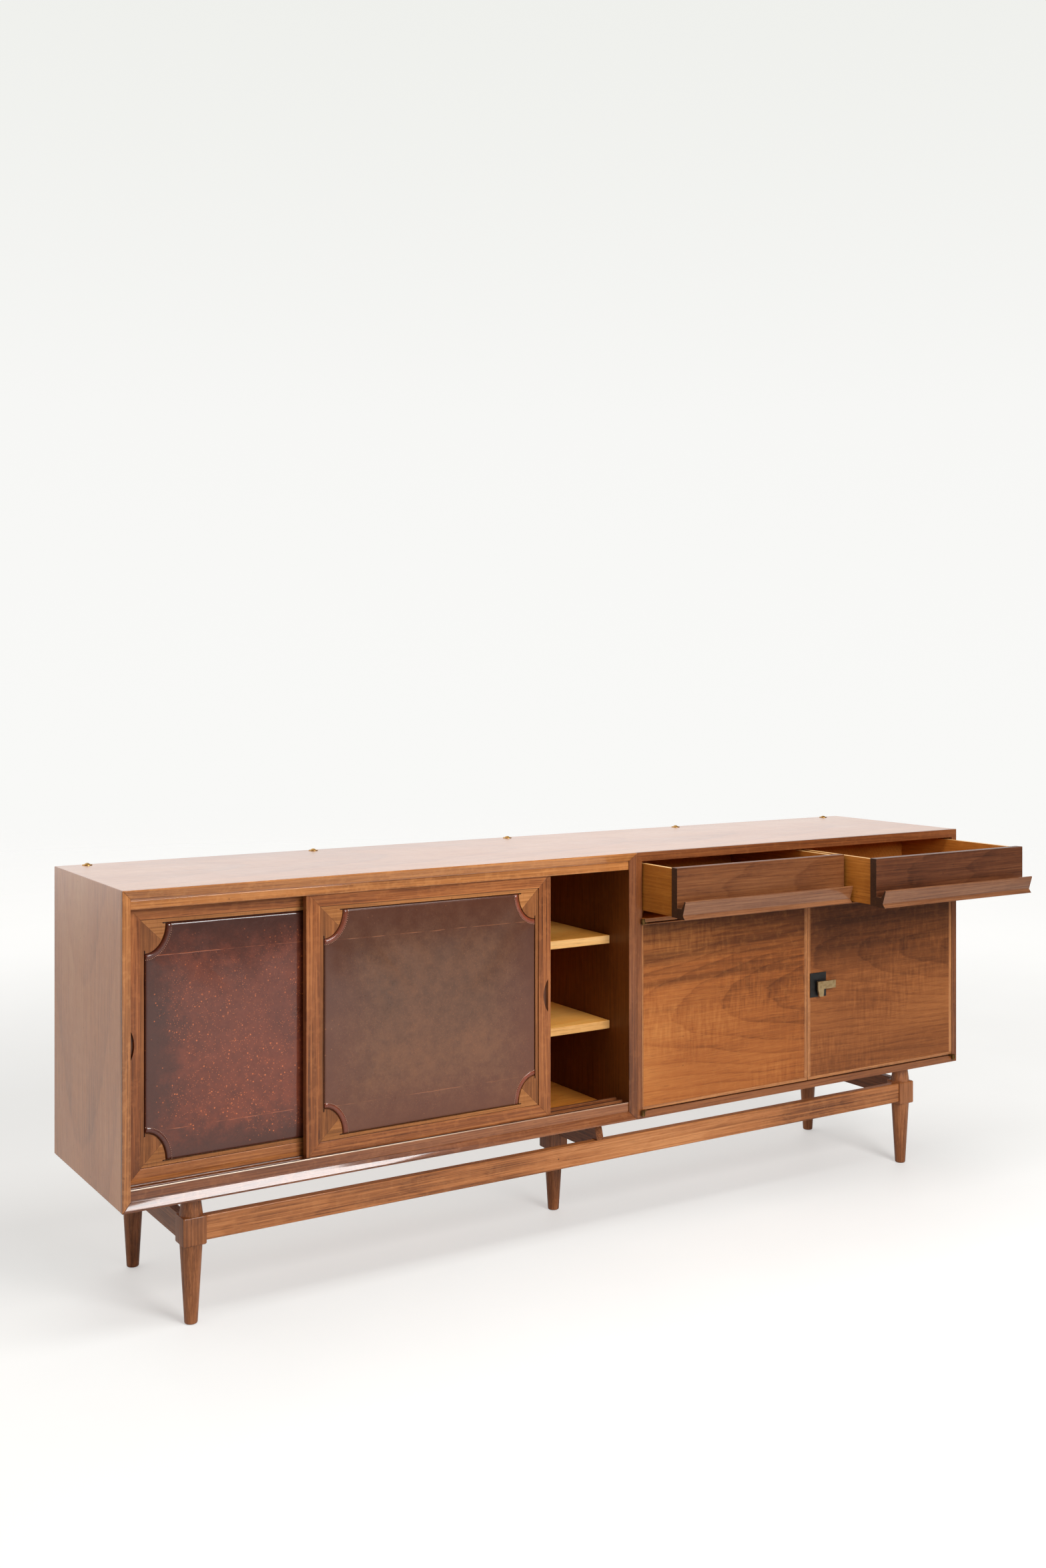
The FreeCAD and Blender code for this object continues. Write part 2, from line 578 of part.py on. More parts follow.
def make_slider(name, x, groove, pull_on_left):
    """One sliding door: two stiles, two rails, a scooped frieze board and a leather panel."""
    y = "%s + slider_side_play" % groove
    # The frame is mitred, so each member is a trapezium seen from the front.
    left = x + " + stile_width"
    right = x + " + slider_width - stile_width"
    end = x + " + slider_width"
    top = "slider_z + slider_height"
    low = "slider_z + slider_rail_width"
    high = "slider_z + slider_height - slider_rail_width"

    def member(part, points):
        return prism("%s_%s" % (name, part), "XZ_Plane", points, ("0", y, "0"), "slider_thick")

    left_stile = member("left_stile", [(x, "slider_z"), (left, low), (left, high), (x, top)])
    right_stile = member("right_stile", [(end, "slider_z"), (end, top), (right, high), (right, low)])
    if pull_on_left:
        recess = finger_recess(name + "_recess", x + " + pull_inset", y, True)
        left_stile = cut(name + "_pull_stile", left_stile, recess)
    else:
        recess = finger_recess(name + "_recess", x + " + slider_width - pull_inset", y, False)
        right_stile = cut(name + "_pull_stile", right_stile, recess)
    node(group(name + "_stiles", [left_stile, right_stile]), name + "_stiles")
    inner = "slider_width - 2 * stile_width"
    rails = [member("lower_rail", [(x, "slider_z"), (end, "slider_z"), (right, low), (left, low)]),
             member("upper_rail", [(x, top), (left, high), (right, high), (end, top)])]
    node(group(name + "_rails", rails), name + "_rails")
    frieze_y = y + " + frieze_step"
    frieze = board(name + "_frieze_blank", (left, frieze_y, "slider_z + slider_rail_width"),
                   (inner, "frieze_thick", "slider_height - 2 * slider_rail_width"))
    bed = "leather_thick - leather_proud"
    recess = leather_outline(name + "_frieze_recess", x, frieze_y, "leather_gap", bed)
    cutters = [recess] + saw_kerfs(name, x, frieze_y)
    node(cut(name + "_frieze_board", frieze, fuse(name + "_frieze_cutters", cutters)),
         name + "_frieze_board")
    leather = leather_outline(name + "_leather_panel", x, frieze_y + " - leather_proud",
                              "0 * leather_gap", "leather_thick")
    node(leather, name + "_leather_panel")


# ---------------------------------------------------------------- hinged doors

def make_hinged_door(name, x, hinge_left):
    """A veneered door with solid lippings and an upper and a lower hinge leaf."""
    left = "slim_lipping" if hinge_left else "meeting_lipping"
    right = "meeting_lipping"
    tall = "door_top - door_bottom"
    core = board(name + "_core", ("%s + %s" % (x, left), "front_y", "door_bottom + bottom_lipping"),
                 ("cell_width - %s - %s" % (left, right), "door_thick",
                  tall + " - bottom_lipping - slim_lipping"))
    if not hinge_left:
        hole = round_bar(name + "_spindle_hole", "spindle_radius + 1", "door_thick + 2",
                         ("spindle_x", "front_y - 1", "spindle_z"),
                         FreeCAD.Rotation(FreeCAD.Vector(1, 0, 0), -90))
        core = cut(name + "_bored_core", core, hole)
    node(core, name + "_panel")
    middle_z = "door_bottom + bottom_lipping"
    middle_tall = tall + " - bottom_lipping - slim_lipping"
    lippings = [
        board(name + "_lipping_bottom", (x, "front_y", "door_bottom"),
              ("cell_width", "door_thick", "bottom_lipping")),
        board(name + "_lipping_top", (x, "front_y", "door_top - slim_lipping"),
              ("cell_width", "door_thick", "slim_lipping")),
        board(name + "_lipping_left", (x, "front_y", middle_z), (left, "door_thick", middle_tall)),
        board(name + "_lipping_right", ("%s + cell_width - %s" % (x, right), "front_y", middle_z),
              (right, "door_thick", middle_tall)),
    ]
    node(group(name + "_lippings", lippings), name + "_lippings")


def make_pivots(name, axis_x, inward):
    """Two case-side pivots with barrels and pins, and the two door-side leaves they carry."""
    leaf_x = "%s + 2" % axis_x if inward > 0 else "%s - 2 - leaf_width" % axis_x
    arm_x = axis_x if inward > 0 else "%s - 2" % axis_x
    gaps = (("upper", "door_top", "drawer_deck_z - dust_thick"), ("lower", "deck_z", "door_bottom"))
    frame_parts = []
    door_parts = []
    for end, gap_low, gap_high in gaps:
        upper = end == "upper"
        case_z = gap_high + " - leaf_thick" if upper else gap_low
        door_z = gap_low if upper else gap_high + " - leaf_thick"
        barrel_z = case_z if upper else "%s + leaf_thick - pivot_height" % case_z
        tag = "%s_%s" % (name, end)
        barrel = round_bar(tag + "_barrel", "pivot_radius", "pivot_height",
                           (axis_x, "axis_y", barrel_z))
        pin_z = door_z if upper else barrel_z
        pin = round_bar(tag + "_pin", "pivot_pin_radius", "pivot_height + 3 - leaf_thick",
                        (axis_x, "axis_y", pin_z))
        leaf = board(tag + "_case_leaf", (leaf_x, "axis_y", case_z),
                     ("leaf_width", "leaf_length", "leaf_thick"))
        arm = board(tag + "_case_arm", (arm_x, "axis_y", case_z), ("2", "pivot_radius", "leaf_thick"))
        frame_parts.append(fuse(tag + "_pivot", [barrel, pin, leaf, arm]))
        eye = round_bar(tag + "_eye", "pivot_radius", "leaf_thick", (axis_x, "axis_y", door_z))
        door_leaf = board(tag + "_door_leaf", (leaf_x, "axis_y", door_z),
                          ("leaf_width", "leaf_length", "leaf_thick"))
        door_arm = board(tag + "_door_arm", (arm_x, "axis_y", door_z),
                         ("2", "pivot_radius", "leaf_thick"))
        bore = round_bar(tag + "_bore", "pivot_pin_radius + pivot_play", "leaf_thick + 2",
                         (axis_x, "axis_y", door_z + " - 1"))
        solid = fuse(tag + "_leaf_blank", [eye, door_leaf, door_arm])
        door_parts.append(cut(tag + "_leaf", solid, bore))
    node(group(name + "_pivots", frame_parts), name + "_pivots")
    node(group(name + "_hinge_leaves", door_parts), name + "_hinge_leaves")


def make_latch():
    back = FreeCAD.Rotation(FreeCAD.Vector(1, 0, 0), -90)
    plate = board("plate_blank", ("plate_left", "front_y - plate_thick", "plate_bottom"),
                  ("plate_width", "plate_thick", "plate_height"))
    hole = round_bar("plate_hole", "spindle_radius + pivot_play", "plate_thick + 2",
                     ("spindle_x", "front_y - plate_thick - 1", "spindle_z"), back)
    node(cut("latch_plate", plate, hole), "latch_plate")
    lever_y = "front_y - plate_thick - lever_stand - lever_thick"
    hub = "lever_half"
    arm = [("-%s" % hub, hub), ("-%s" % hub, "-lever_half"), ("-lever_half / 2", "-lever_tail"),
           ("-lever_half / 2 + lever_tail_width", "-lever_tail"), (hub, "-lever_half"),
           ("lever_reach", "-lever_half"), ("lever_reach", hub)]
    lever = prism("lever_blank", "XZ_Plane", arm, ("spindle_x", lever_y, "spindle_z"), "lever_thick")
    node(lever, "latch_lever")
    spindle_y = lever_y + " + lever_thick"
    reach = "plate_thick + lever_stand + door_thick + 2 + cam_thick"
    spindle = round_bar("spindle_bar", "spindle_radius", reach, ("spindle_x", spindle_y, "spindle_z"),
                        back)
    cam = board("spindle_cam", ("spindle_x - cam_width / 2", "front_y + door_thick + 2",
                                "spindle_z - cam_length"),
                ("cam_width", "cam_thick", "cam_length + spindle_radius"))
    node(fuse("latch_spindle", [spindle, cam]), "latch_spindle")


# ---------------------------------------------------------------- drawers

def make_drawer(name, x, opening, divider_on_right):
    """A drawer drawn out by opening: front, lipped pull, box of three boards, and bottom."""
    face_y = "front_y - " + opening
    back_y = face_y + " + drawer_front_thick"
    node(board(name + "_front", (x, face_y, "drawer_front_bottom"),
               ("cell_width", "drawer_front_thick", "drawer_front_top - drawer_front_bottom")),
         name + "_front")
    lip = [("0", "0"), ("-lip_bottom_reach", "0"), ("-lip_crease_reach", "lip_crease"),
           ("-lip_tip_reach", "lip_rise"), ("-lip_tip_reach + lip_edge", "lip_rise + 1"),
           ("-lip_gap", "lip_root"), ("0", "lip_root")]
    node(prism(name + "_pull", "YZ_Plane", lip, (x, face_y, "lip_bottom"), "cell_width"),
         name + "_pull")
    left_inset = "drawer_wall_inset" if divider_on_right else "drawer_divider_inset"
    right_inset = "drawer_divider_inset" if divider_on_right else "drawer_wall_inset"
    left_x = "%s + %s" % (x, left_inset)
    right_x = "%s + cell_width - %s - drawer_side_thick" % (x, right_inset)
    between = ("cell_width - %s - %s - 2 * drawer_side_thick" % (left_inset, right_inset))
    side_z = "drawer_front_bottom + 1"
    size = ("drawer_side_thick", "drawer_box_length", "drawer_side_height")
    boards = [board(name + "_left_side", (left_x, back_y, side_z), size),
              board(name + "_right_side", (right_x, back_y, side_z), size),
              board(name + "_back", (left_x + " + drawer_side_thick",
                                     back_y + " + drawer_box_length - drawer_side_thick", side_z),
                    (between, "drawer_side_thick", "drawer_side_height"))]
    node(group(name + "_box", boards), name + "_box")
    node(board(name + "_bottom", (left_x + " + drawer_side_thick", back_y,
                                  side_z + " + drawer_bottom_rise"),
               (between, "drawer_box_length - drawer_side_thick", "drawer_bottom_thick")),
         name + "_bottom")


def check_and_export():
    doc.recompute()
    for item in doc.Objects:
        bad = [state for state in item.State if state in ("Invalid", "Error")]
        if bad:
            raise RuntimeError("%s is %s" % (item.Label, bad))
    for piece in NODES:
        if piece.Shape.isNull() or not piece.Shape.isValid() or not piece.Shape.Solids:
            raise RuntimeError("%s has no sound solid" % piece.Label)
    os.makedirs("parts", exist_ok=True)
    for piece in NODES:
        piece.Shape.exportStep("parts/%s.step" % piece.Label)
    print("%d nodes, %d solids" % (len(NODES), sum(len(n.Shape.Solids) for n in NODES)))


make_sheet()
make_case()
make_frame_mouldings()
make_tracks()
make_shelves()
make_drawer_bay()
make_fittings()
make_base()
make_slider("front_slider", "inner_left_x + front_slider_shift", "front_groove_y", False)
make_slider("rear_slider", "inner_left_x + 1", "rear_groove_y", True)
make_hinged_door("left_door", "bay_x + drawer_gap", True)
make_hinged_door("right_door", "bay_middle_x + drawer_gap / 2", False)
make_pivots("left_door", "bay_x - 0.5", 1)
make_pivots("right_door", "bay_end_x + 0.5", -1)
make_latch()
make_drawer("left_drawer", "bay_x + drawer_gap", "left_drawer_open", True)
make_drawer("right_drawer", "bay_middle_x + drawer_gap / 2", "right_drawer_open", False)
check_and_export()
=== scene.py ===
"""Looks of a long sideboard: lacquered timber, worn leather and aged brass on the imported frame."""

import logging
import math
from dataclasses import dataclass, field, replace
from enum import Enum
from typing import Callable, Sequence

import bmesh
import bpy
import numpy as np
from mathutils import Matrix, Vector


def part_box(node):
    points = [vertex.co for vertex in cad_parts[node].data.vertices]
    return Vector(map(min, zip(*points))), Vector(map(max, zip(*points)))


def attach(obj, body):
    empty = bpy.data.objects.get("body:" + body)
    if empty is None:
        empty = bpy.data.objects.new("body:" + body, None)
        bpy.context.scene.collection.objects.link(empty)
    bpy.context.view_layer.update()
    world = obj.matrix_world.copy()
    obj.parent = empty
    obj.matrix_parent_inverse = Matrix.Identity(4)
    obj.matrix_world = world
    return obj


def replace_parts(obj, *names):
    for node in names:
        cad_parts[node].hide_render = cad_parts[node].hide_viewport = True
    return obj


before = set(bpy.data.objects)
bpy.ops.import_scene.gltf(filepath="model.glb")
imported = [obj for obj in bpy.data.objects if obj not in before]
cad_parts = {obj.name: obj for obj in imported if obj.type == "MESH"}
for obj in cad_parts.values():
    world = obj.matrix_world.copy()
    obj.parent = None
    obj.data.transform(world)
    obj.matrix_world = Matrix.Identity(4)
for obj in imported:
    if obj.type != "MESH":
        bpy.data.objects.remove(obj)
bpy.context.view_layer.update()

LOG = logging.getLogger("sideboard")
MM = 0.001
QUARTER = math.pi / 2
Colour = tuple[float, float, float, float]
Tint = tuple[int, int, int]
Triple = tuple[float, float, float]
Socket = bpy.types.NodeSocket
Node = bpy.types.Node
Rule = Callable[[np.ndarray, np.ndarray], np.ndarray]


def paint(red: float, green: float, blue: float) -> Colour:
    """Turn a display colour into the linear one that shaders read.

    Args:
        red, green, blue: the display colour, from 0 to 255.

    Returns:
        The linear colour with alpha 1.
    """
    part = np.array([red, green, blue]) / 255
    linear = np.where(part <= 0.04045, part / 12.92, ((part + 0.055) / 1.055) ** 2.4)
    return (*(float(v) for v in linear), 1.0)


# ------------------------------------------------------------------ shader graph helpers

class Graph:
    """A node tree with short calls that add a node, wire it and return its result."""

    def __init__(self, tree: bpy.types.NodeTree) -> None:
        """Keep the tree that the calls add to."""
        self.tree = tree

    def add(self, kind: str, **settings: object) -> Node:
        """Add a node of that kind and set its plain settings.

        Args:
            kind: the type name of the node.
            settings: the values of its own properties.

        Returns:
            The node.
        """
        node = self.tree.nodes.new(kind)
        for name, value in settings.items():
            setattr(node, name, value)
        return node

    def feed(self, socket: Socket, value: object) -> None:
        """Wire a socket to another one, or give it a plain value.

        Args:
            socket: the input to feed.
            value: an output socket or a plain value.
        """
        if isinstance(value, Socket):
            self.tree.links.new(value, socket)
        else:
            socket.default_value = value

    def math(self, operation: str, *values: object, clamp: bool = False) -> Socket:
        """Add a Math node over up to three values and return its result.

        Args:
            operation: what the node works out.
            values: sockets or numbers.
            clamp: whether the result is kept between 0 and 1.

        Returns:
            The result.
        """
        node = self.add("ShaderNodeMath", operation=operation, use_clamp=clamp)
        for socket, value in zip(node.inputs, values):
            self.feed(socket, value)
        return node.outputs[0]

    def vector(self, operation: str, first: object, second: object) -> Socket:
        """Add a Vector Math node over two vectors and return its vector result.

        Args:
            operation: what the node works out.
            first, second: sockets or triples.

        Returns:
            The vector result.
        """
        node = self.add("ShaderNodeVectorMath", operation=operation)
        self.feed(node.inputs[0], first)
        self.feed(node.inputs[1], second)
        return node.outputs[0]

    def blend(self, factor: object, first: object, second: object,
              mode: str = "MIX") -> Socket:
        """Mix two colours by a factor and return the colour.

        Args:
            factor: the share of the second.
            first, second: sockets or linear colours.
            mode: how they are mixed.

        Returns:
            The mixed colour.
        """
        node = self.add("ShaderNodeMix", data_type="RGBA", blend_type=mode)
        self.feed(node.inputs[0], factor)
        self.feed(node.inputs[6], first)
        self.feed(node.inputs[7], second)
        return node.outputs[2]

    def noise(self, place: object, scale: float = 1.0, detail: float = 2.0,
              rough: float = 0.5) -> Socket:
        """Return smooth noise, about 0.5 in the mean, at a place.

        Args:
            place: the point, as a vector.
            scale: waves to a unit.
            detail: finer layers on top.
            rough: how strong the finer layers are.

        Returns:
            The noise, from 0 to 1.
        """
        node = self.add("ShaderNodeTexNoise", noise_dimensions="3D")
        self.feed(node.inputs["Vector"], place)
        node.inputs["Scale"].default_value = scale
        node.inputs["Detail"].default_value = detail
        node.inputs["Roughness"].default_value = rough
        return node.outputs[0]

    def cells(self, place: object, scale: float, feature: str = "F1") -> Node:
        """Return a Voronoi node at a place.

        Args:
            place: the point, as a vector.
            scale: cells to a unit.
            feature: which distance it gives.

        Returns:
            The node.
        """
        node = self.add("ShaderNodeTexVoronoi", feature=feature)
        self.feed(node.inputs["Vector"], place)
        node.inputs["Scale"].default_value = scale
        return node

    def remap(self, value: object, low: float, high: float, to_low: float = 0.0,
              to_high: float = 1.0) -> Socket:
        """Carry a value from one range to another, smoothly and clamped.

        Args:
            value: what is carried.
            low, high: the range that it comes from.
            to_low, to_high: the range that it goes to.

        Returns:
            The value in its new range.
        """
        node = self.add("ShaderNodeMapRange", interpolation_type="SMOOTHSTEP")
        self.feed(node.inputs[0], value)
        for socket, limit in zip(node.inputs[1:5], (low, high, to_low, to_high)):
            self.feed(socket, limit)
        return node.outputs[0]

    def within(self, value: object, low: float, high: float) -> Socket:
        """Return how far a value lies inside a range: half its width less the way to its middle.

        Args:
            value: the value to place.
            low, high: the ends of the range.

        Returns:
            The way in from the nearer end, below 0 outside.
        """
        off = self.math("ABSOLUTE", self.math("SUBTRACT", value, (high + low) / 2))
        return self.math("SUBTRACT", (high - low) / 2, off)

    def ramp(self, value: object, *stops: tuple[float, Colour]) -> Socket:
        """Return a colour that runs through the stops as the value goes from 0 to 1.

        Args:
            value: the place along the run.
            stops: pairs of place and colour.

        Returns:
            The colour.
        """
        node = self.add("ShaderNodeValToRGB")
        elements = node.color_ramp.elements
        while len(elements) < len(stops):
            elements.new(0.5)
        for element, (place, colour) in zip(elements, stops):
            element.position = place
            element.color = colour
        self.feed(node.inputs[0], value)
        return node.outputs[0]

    def combine(self, x: object, y: object, z: object) -> Socket:
        """Return a vector from its three parts.

        Args:
            x, y, z: sockets or numbers.

        Returns:
            The vector.
        """
        node = self.add("ShaderNodeCombineXYZ")
        for socket, value in zip(node.inputs, (x, y, z)):
            self.feed(socket, value)
        return node.outputs[0]

    def place(self) -> Socket:
        """Return the Object coordinates, which are the row frame's metres at rest."""
        return self.add("ShaderNodeTexCoord").outputs["Object"]

    def split(self, vector: object) -> tuple[Socket, ...]:
        """Return the three parts of a vector.

        Args:
            vector: the vector to take apart.

        Returns:
            Its x, y and z.
        """
        node = self.add("ShaderNodeSeparateXYZ")
        self.feed(node.inputs[0], vector)
        return tuple(node.outputs)

    def group(self, tree: bpy.types.NodeTree, **inputs: object) -> Node:
        """Place a node group and feed its inputs by name.

        Args:
            tree: the group.
            inputs: a value or socket for each input.

        Returns:
            The node.
        """
        node = self.add("ShaderNodeGroup", node_tree=tree)
        for name, value in inputs.items():
            self.feed(node.inputs[name], value)
        return node


def new_group(name: str, inputs: Sequence[str], outputs: Sequence[str],
              vectors: Sequence[str] = ()) -> tuple[bpy.types.NodeTree, Graph, dict[str, Socket], Node]:
    """Start a shader node group with named sockets.

    Args:
        name: the group's name.
        inputs: names of its number inputs.
        outputs: names of its number outputs.
        vectors: names of its vector inputs.

    Returns:
        The tree, a Graph on it, its input sockets by name, and its output node.
    """
    tree = bpy.data.node_groups.new(name, "ShaderNodeTree")
    for label in vectors:
        tree.interface.new_socket(label, in_out="INPUT", socket_type="NodeSocketVector")
    for label in inputs:
        tree.interface.new_socket(label, in_out="INPUT", socket_type="NodeSocketFloat")
    for label in outputs:
        tree.interface.new_socket(label, in_out="OUTPUT", socket_type="NodeSocketFloat")
    graph = Graph(tree)
    source = graph.add("NodeGroupInput")
    sink = graph.add("NodeGroupOutput")
    return tree, graph, {s.name: s for s in source.outputs if s.name}, sink


def timber_group() -> bpy.types.NodeTree:
    """Build the timber figure: growth rings cut by the board, streaks, fine grain and pores.

    The ring value is the distance from a log's axis that lies under the face and leans away
    along the board, which draws the nested arches of crown-cut veneer.

    Returns:
        The group, with Tone and Height from 0 to 1 and a mask of open Pores.
    """
    tree, g, given, out = new_group(
        "timber figure",
        ("Across", "Depth", "Along", "Seed", "Spacing", "Ring", "Streak", "Mottle", "Fine", "Wave",
         "Centre", "Rise", "Tilt", "Ripple"),
        ("Tone", "Pores", "Height"))
    shift = g.math("MULTIPLY", given["Seed"], 3.7)
    place = g.combine(g.math("ADD", given["Across"], shift), g.math("ADD", given["Depth"], shift),
                      g.math("MULTIPLY_ADD", given["Seed"], 5.3, given["Along"]))
    broad = g.math("SUBTRACT", g.noise(g.vector("MULTIPLY", place, (4.5, 4.5, 1.2)), 1, 2), 0.5)
    swirl = g.math("SUBTRACT", g.noise(g.vector("MULTIPLY", place, (26, 26, 3.5)), 1, 3), 0.5)
    height = g.math("ADD", g.math("MULTIPLY_ADD", given["Along"], given["Tilt"], given["Rise"]),
                    given["Depth"])
    off = g.math("SUBTRACT", given["Across"], given["Centre"])
    off = g.math("MULTIPLY_ADD", g.math("MULTIPLY", broad, given["Wave"]), 9, off)
    radius = g.math("SQRT", g.math("ADD", g.math("MULTIPLY", off, off),
                                   g.math("MULTIPLY", height, height)))
    radius = g.math("MULTIPLY_ADD", swirl, given["Wave"], radius)
    ring = g.math("FRACT", g.math("DIVIDE", radius, given["Spacing"]))
    late = g.math("MULTIPLY", g.math("POWER", ring, 4.0), g.remap(ring, 0.94, 1.0, 1.0, 0.0))
    streak = g.noise(g.vector("MULTIPLY", place, (260, 260, 4.0)), 1, 4, 0.62)
    fine = g.noise(g.vector("MULTIPLY", place, (950, 950, 14)), 1, 2, 0.6)
    curl = g.noise(g.vector("MULTIPLY", place, (20, 20, 120)), 1, 2)
    wave = g.math("MULTIPLY", g.math("SUBTRACT", curl, 0.5), 2.4)
    patch = g.remap(g.noise(g.vector("MULTIPLY", place, (7, 7, 3)), 1, 2), 0.40, 0.62)
    tone = g.math("MULTIPLY_ADD", g.math("SUBTRACT", 0.2, late), given["Ring"], 0.5)
    for value, strength in ((streak, "Streak"), (fine, "Fine")):
        swing = g.math("MULTIPLY", g.math("SUBTRACT", value, 0.5), 2)
        tone = g.math("MULTIPLY_ADD", swing, given[strength], tone)
    tone = g.math("MULTIPLY_ADD", g.math("MULTIPLY", broad, 2), given["Mottle"], tone)
    tone = g.math("MULTIPLY_ADD", g.math("MULTIPLY", wave, patch), given["Ripple"], tone, clamp=True)
    pores = g.remap(g.noise(g.vector("MULTIPLY", place, (1300, 1300, 26)), 1, 1), 0.60, 0.70)
    height = g.math("MULTIPLY_ADD", pores, -0.5, g.math("MULTIPLY_ADD", tone, 0.3, 0.5))
    for name, value in (("Tone", tone), ("Pores", pores), ("Height", height)):
        g.feed(out.inputs[name], value)
    return tree


def wear_group() -> bpy.types.NodeTree:
    """Build years of use: soft smudges in the polish, small dents, and rubbed patches.

    Returns:
        The group, with Smudge from 0 to 1 and masks of Dents and Rubbed spots.
    """
    tree, g, given, out = new_group("years of use", ("Seed",), ("Smudge", "Dents", "Rubbed"), ("Place",))
    place = g.vector("ADD", given["Place"], g.combine(given["Seed"], given["Seed"], given["Seed"]))
    smudge = g.noise(place, 7, 4, 0.55)
    cell = g.cells(place, 26)
    chosen = g.math("GREATER_THAN", g.split(cell.outputs["Color"])[0], 0.80)
    dents = g.math("MULTIPLY", g.remap(cell.outputs["Distance"], 0.035, 0.075, 1.0, 0.0), chosen)
    rubbed = g.remap(g.noise(place, 45, 3, 0.65), 0.48, 0.66)
    for name, value in (("Smudge", smudge), ("Dents", dents), ("Rubbed", rubbed)):
        g.feed(out.inputs[name], value)
    return tree


def hide_group() -> bpy.types.NodeTree:
    """Build leather: cloudy patches, burnt specks, scratches, and the pebble of its grain.

    Returns:
        The group, with Cloud from 0 to 1, masks of Specks and Scratches, and Height.
    """
    tree, g, given, out = new_group("hide", ("Seed",), ("Cloud", "Specks", "Scratches", "Height"),
                                    ("Place",))
    place = g.vector("ADD", given["Place"], g.combine(given["Seed"], given["Seed"], given["Seed"]))
    broad = g.math("MULTIPLY", g.noise(place, 9, 3, 0.55), 0.33)
    cloud = g.math("MULTIPLY_ADD", g.noise(place, 38, 4, 0.6), 0.42, broad)
    cloud = g.math("MULTIPLY_ADD", g.noise(place, 160, 4, 0.65), 0.25, cloud)
    near = g.cells(place, 108)
    lucky = g.math("GREATER_THAN", g.split(near.outputs["Color"])[1],
                   g.remap(g.noise(place, 8, 3), 0.40, 0.62, 0.98, 0.5))
    specks = g.math("MULTIPLY", g.remap(near.outputs["Distance"], 0.07, 0.23, 1.0, 0.0), lucky)
    tiny = g.cells(place, 310)
    picked = g.math("GREATER_THAN", g.split(tiny.outputs["Color"])[1], 0.86)
    tiny_specks = g.math("MULTIPLY", g.remap(tiny.outputs["Distance"], 0.12, 0.30, 0.8, 0.0), picked)
    specks = g.math("MAXIMUM", specks, tiny_specks)
    bent = g.vector("ADD", place, g.combine(0.0, 0.0, g.noise(place, 30, 1)))
    slant = g.cells(g.vector("MULTIPLY", bent, (90, 90, 26)), 1.0)
    chance = g.math("GREATER_THAN", g.split(slant.outputs["Color"])[2], 0.93)
    scratches = g.math("MULTIPLY", g.remap(slant.outputs["Distance"], 0.04, 0.14, 1.0, 0.0), chance)
    pebble = g.cells(place, 780, "SMOOTH_F1").outputs["Distance"]
    crease = g.noise(place, 130, 3, 0.6)
    height = g.math("MULTIPLY_ADD", crease, 0.65, g.math("MULTIPLY", scratches, -0.4))
    height = g.math("MULTIPLY_ADD", pebble, 0.35, height)
    for name, value in (("Cloud", cloud), ("Specks", specks), ("Scratches", scratches),
                        ("Height", height)):
        g.feed(out.inputs[name], value)
    return tree


TIMBER = timber_group()
WEAR = wear_group()
HIDE = hide_group()


def shaded(tint: Tint, share: float) -> Colour:
    """Return a tint darkened to a share of itself."""
    return paint(*(share * part for part in tint))


def relief(g: Graph, shader: Node, height: Socket, strength: float, depth: float) -> None:
    """Bump the surface by a height, with a strength and a depth in metres.

    Args:
        g: the graph that the shader is in.
        shader: the shader whose normal is bumped.
        height: the height, from 0 to 1.
        strength: how much of the bump shows.
        depth: what a height of 1 stands for, in metres.
    """
    bump = g.add("ShaderNodeBump")
    bump.inputs["Strength"].default_value = strength
    bump.inputs["Distance"].default_value = depth
    g.feed(bump.inputs["Height"], height)
    g.feed(shader.inputs["Normal"], bump.outputs[0])


def new_material(name: str) -> tuple[bpy.types.Material, Graph, Node]:
    """Start a material and return it with its Graph and its Principled shader.

    Args:
        name: the name of the material.

    Returns:
        The material, the graph and the shader.
    """
    material = bpy.data.materials.new(name)
    material.use_nodes = True
    material.node_tree.nodes.clear()
    g = Graph(material.node_tree)
    shader = g.add("ShaderNodeBsdfPrincipled")
    sink = g.add("ShaderNodeOutputMaterial")
    g.feed(sink.inputs["Surface"], shader.outputs[0])
    return material, g, shader


class Run(Enum):
    """Which way the grain runs, and which way lies across it on the face."""

    LENGTH_UPRIGHT = (2, 1, 0)
    LENGTH_FLAT = (1, 2, 0)
    UPRIGHT_FRONT = (0, 1, 2)
    UPRIGHT_SIDE = (1, 0, 2)
    DEEP_SIDE = (2, 0, 1)
    DEEP_FLAT = (0, 2, 1)


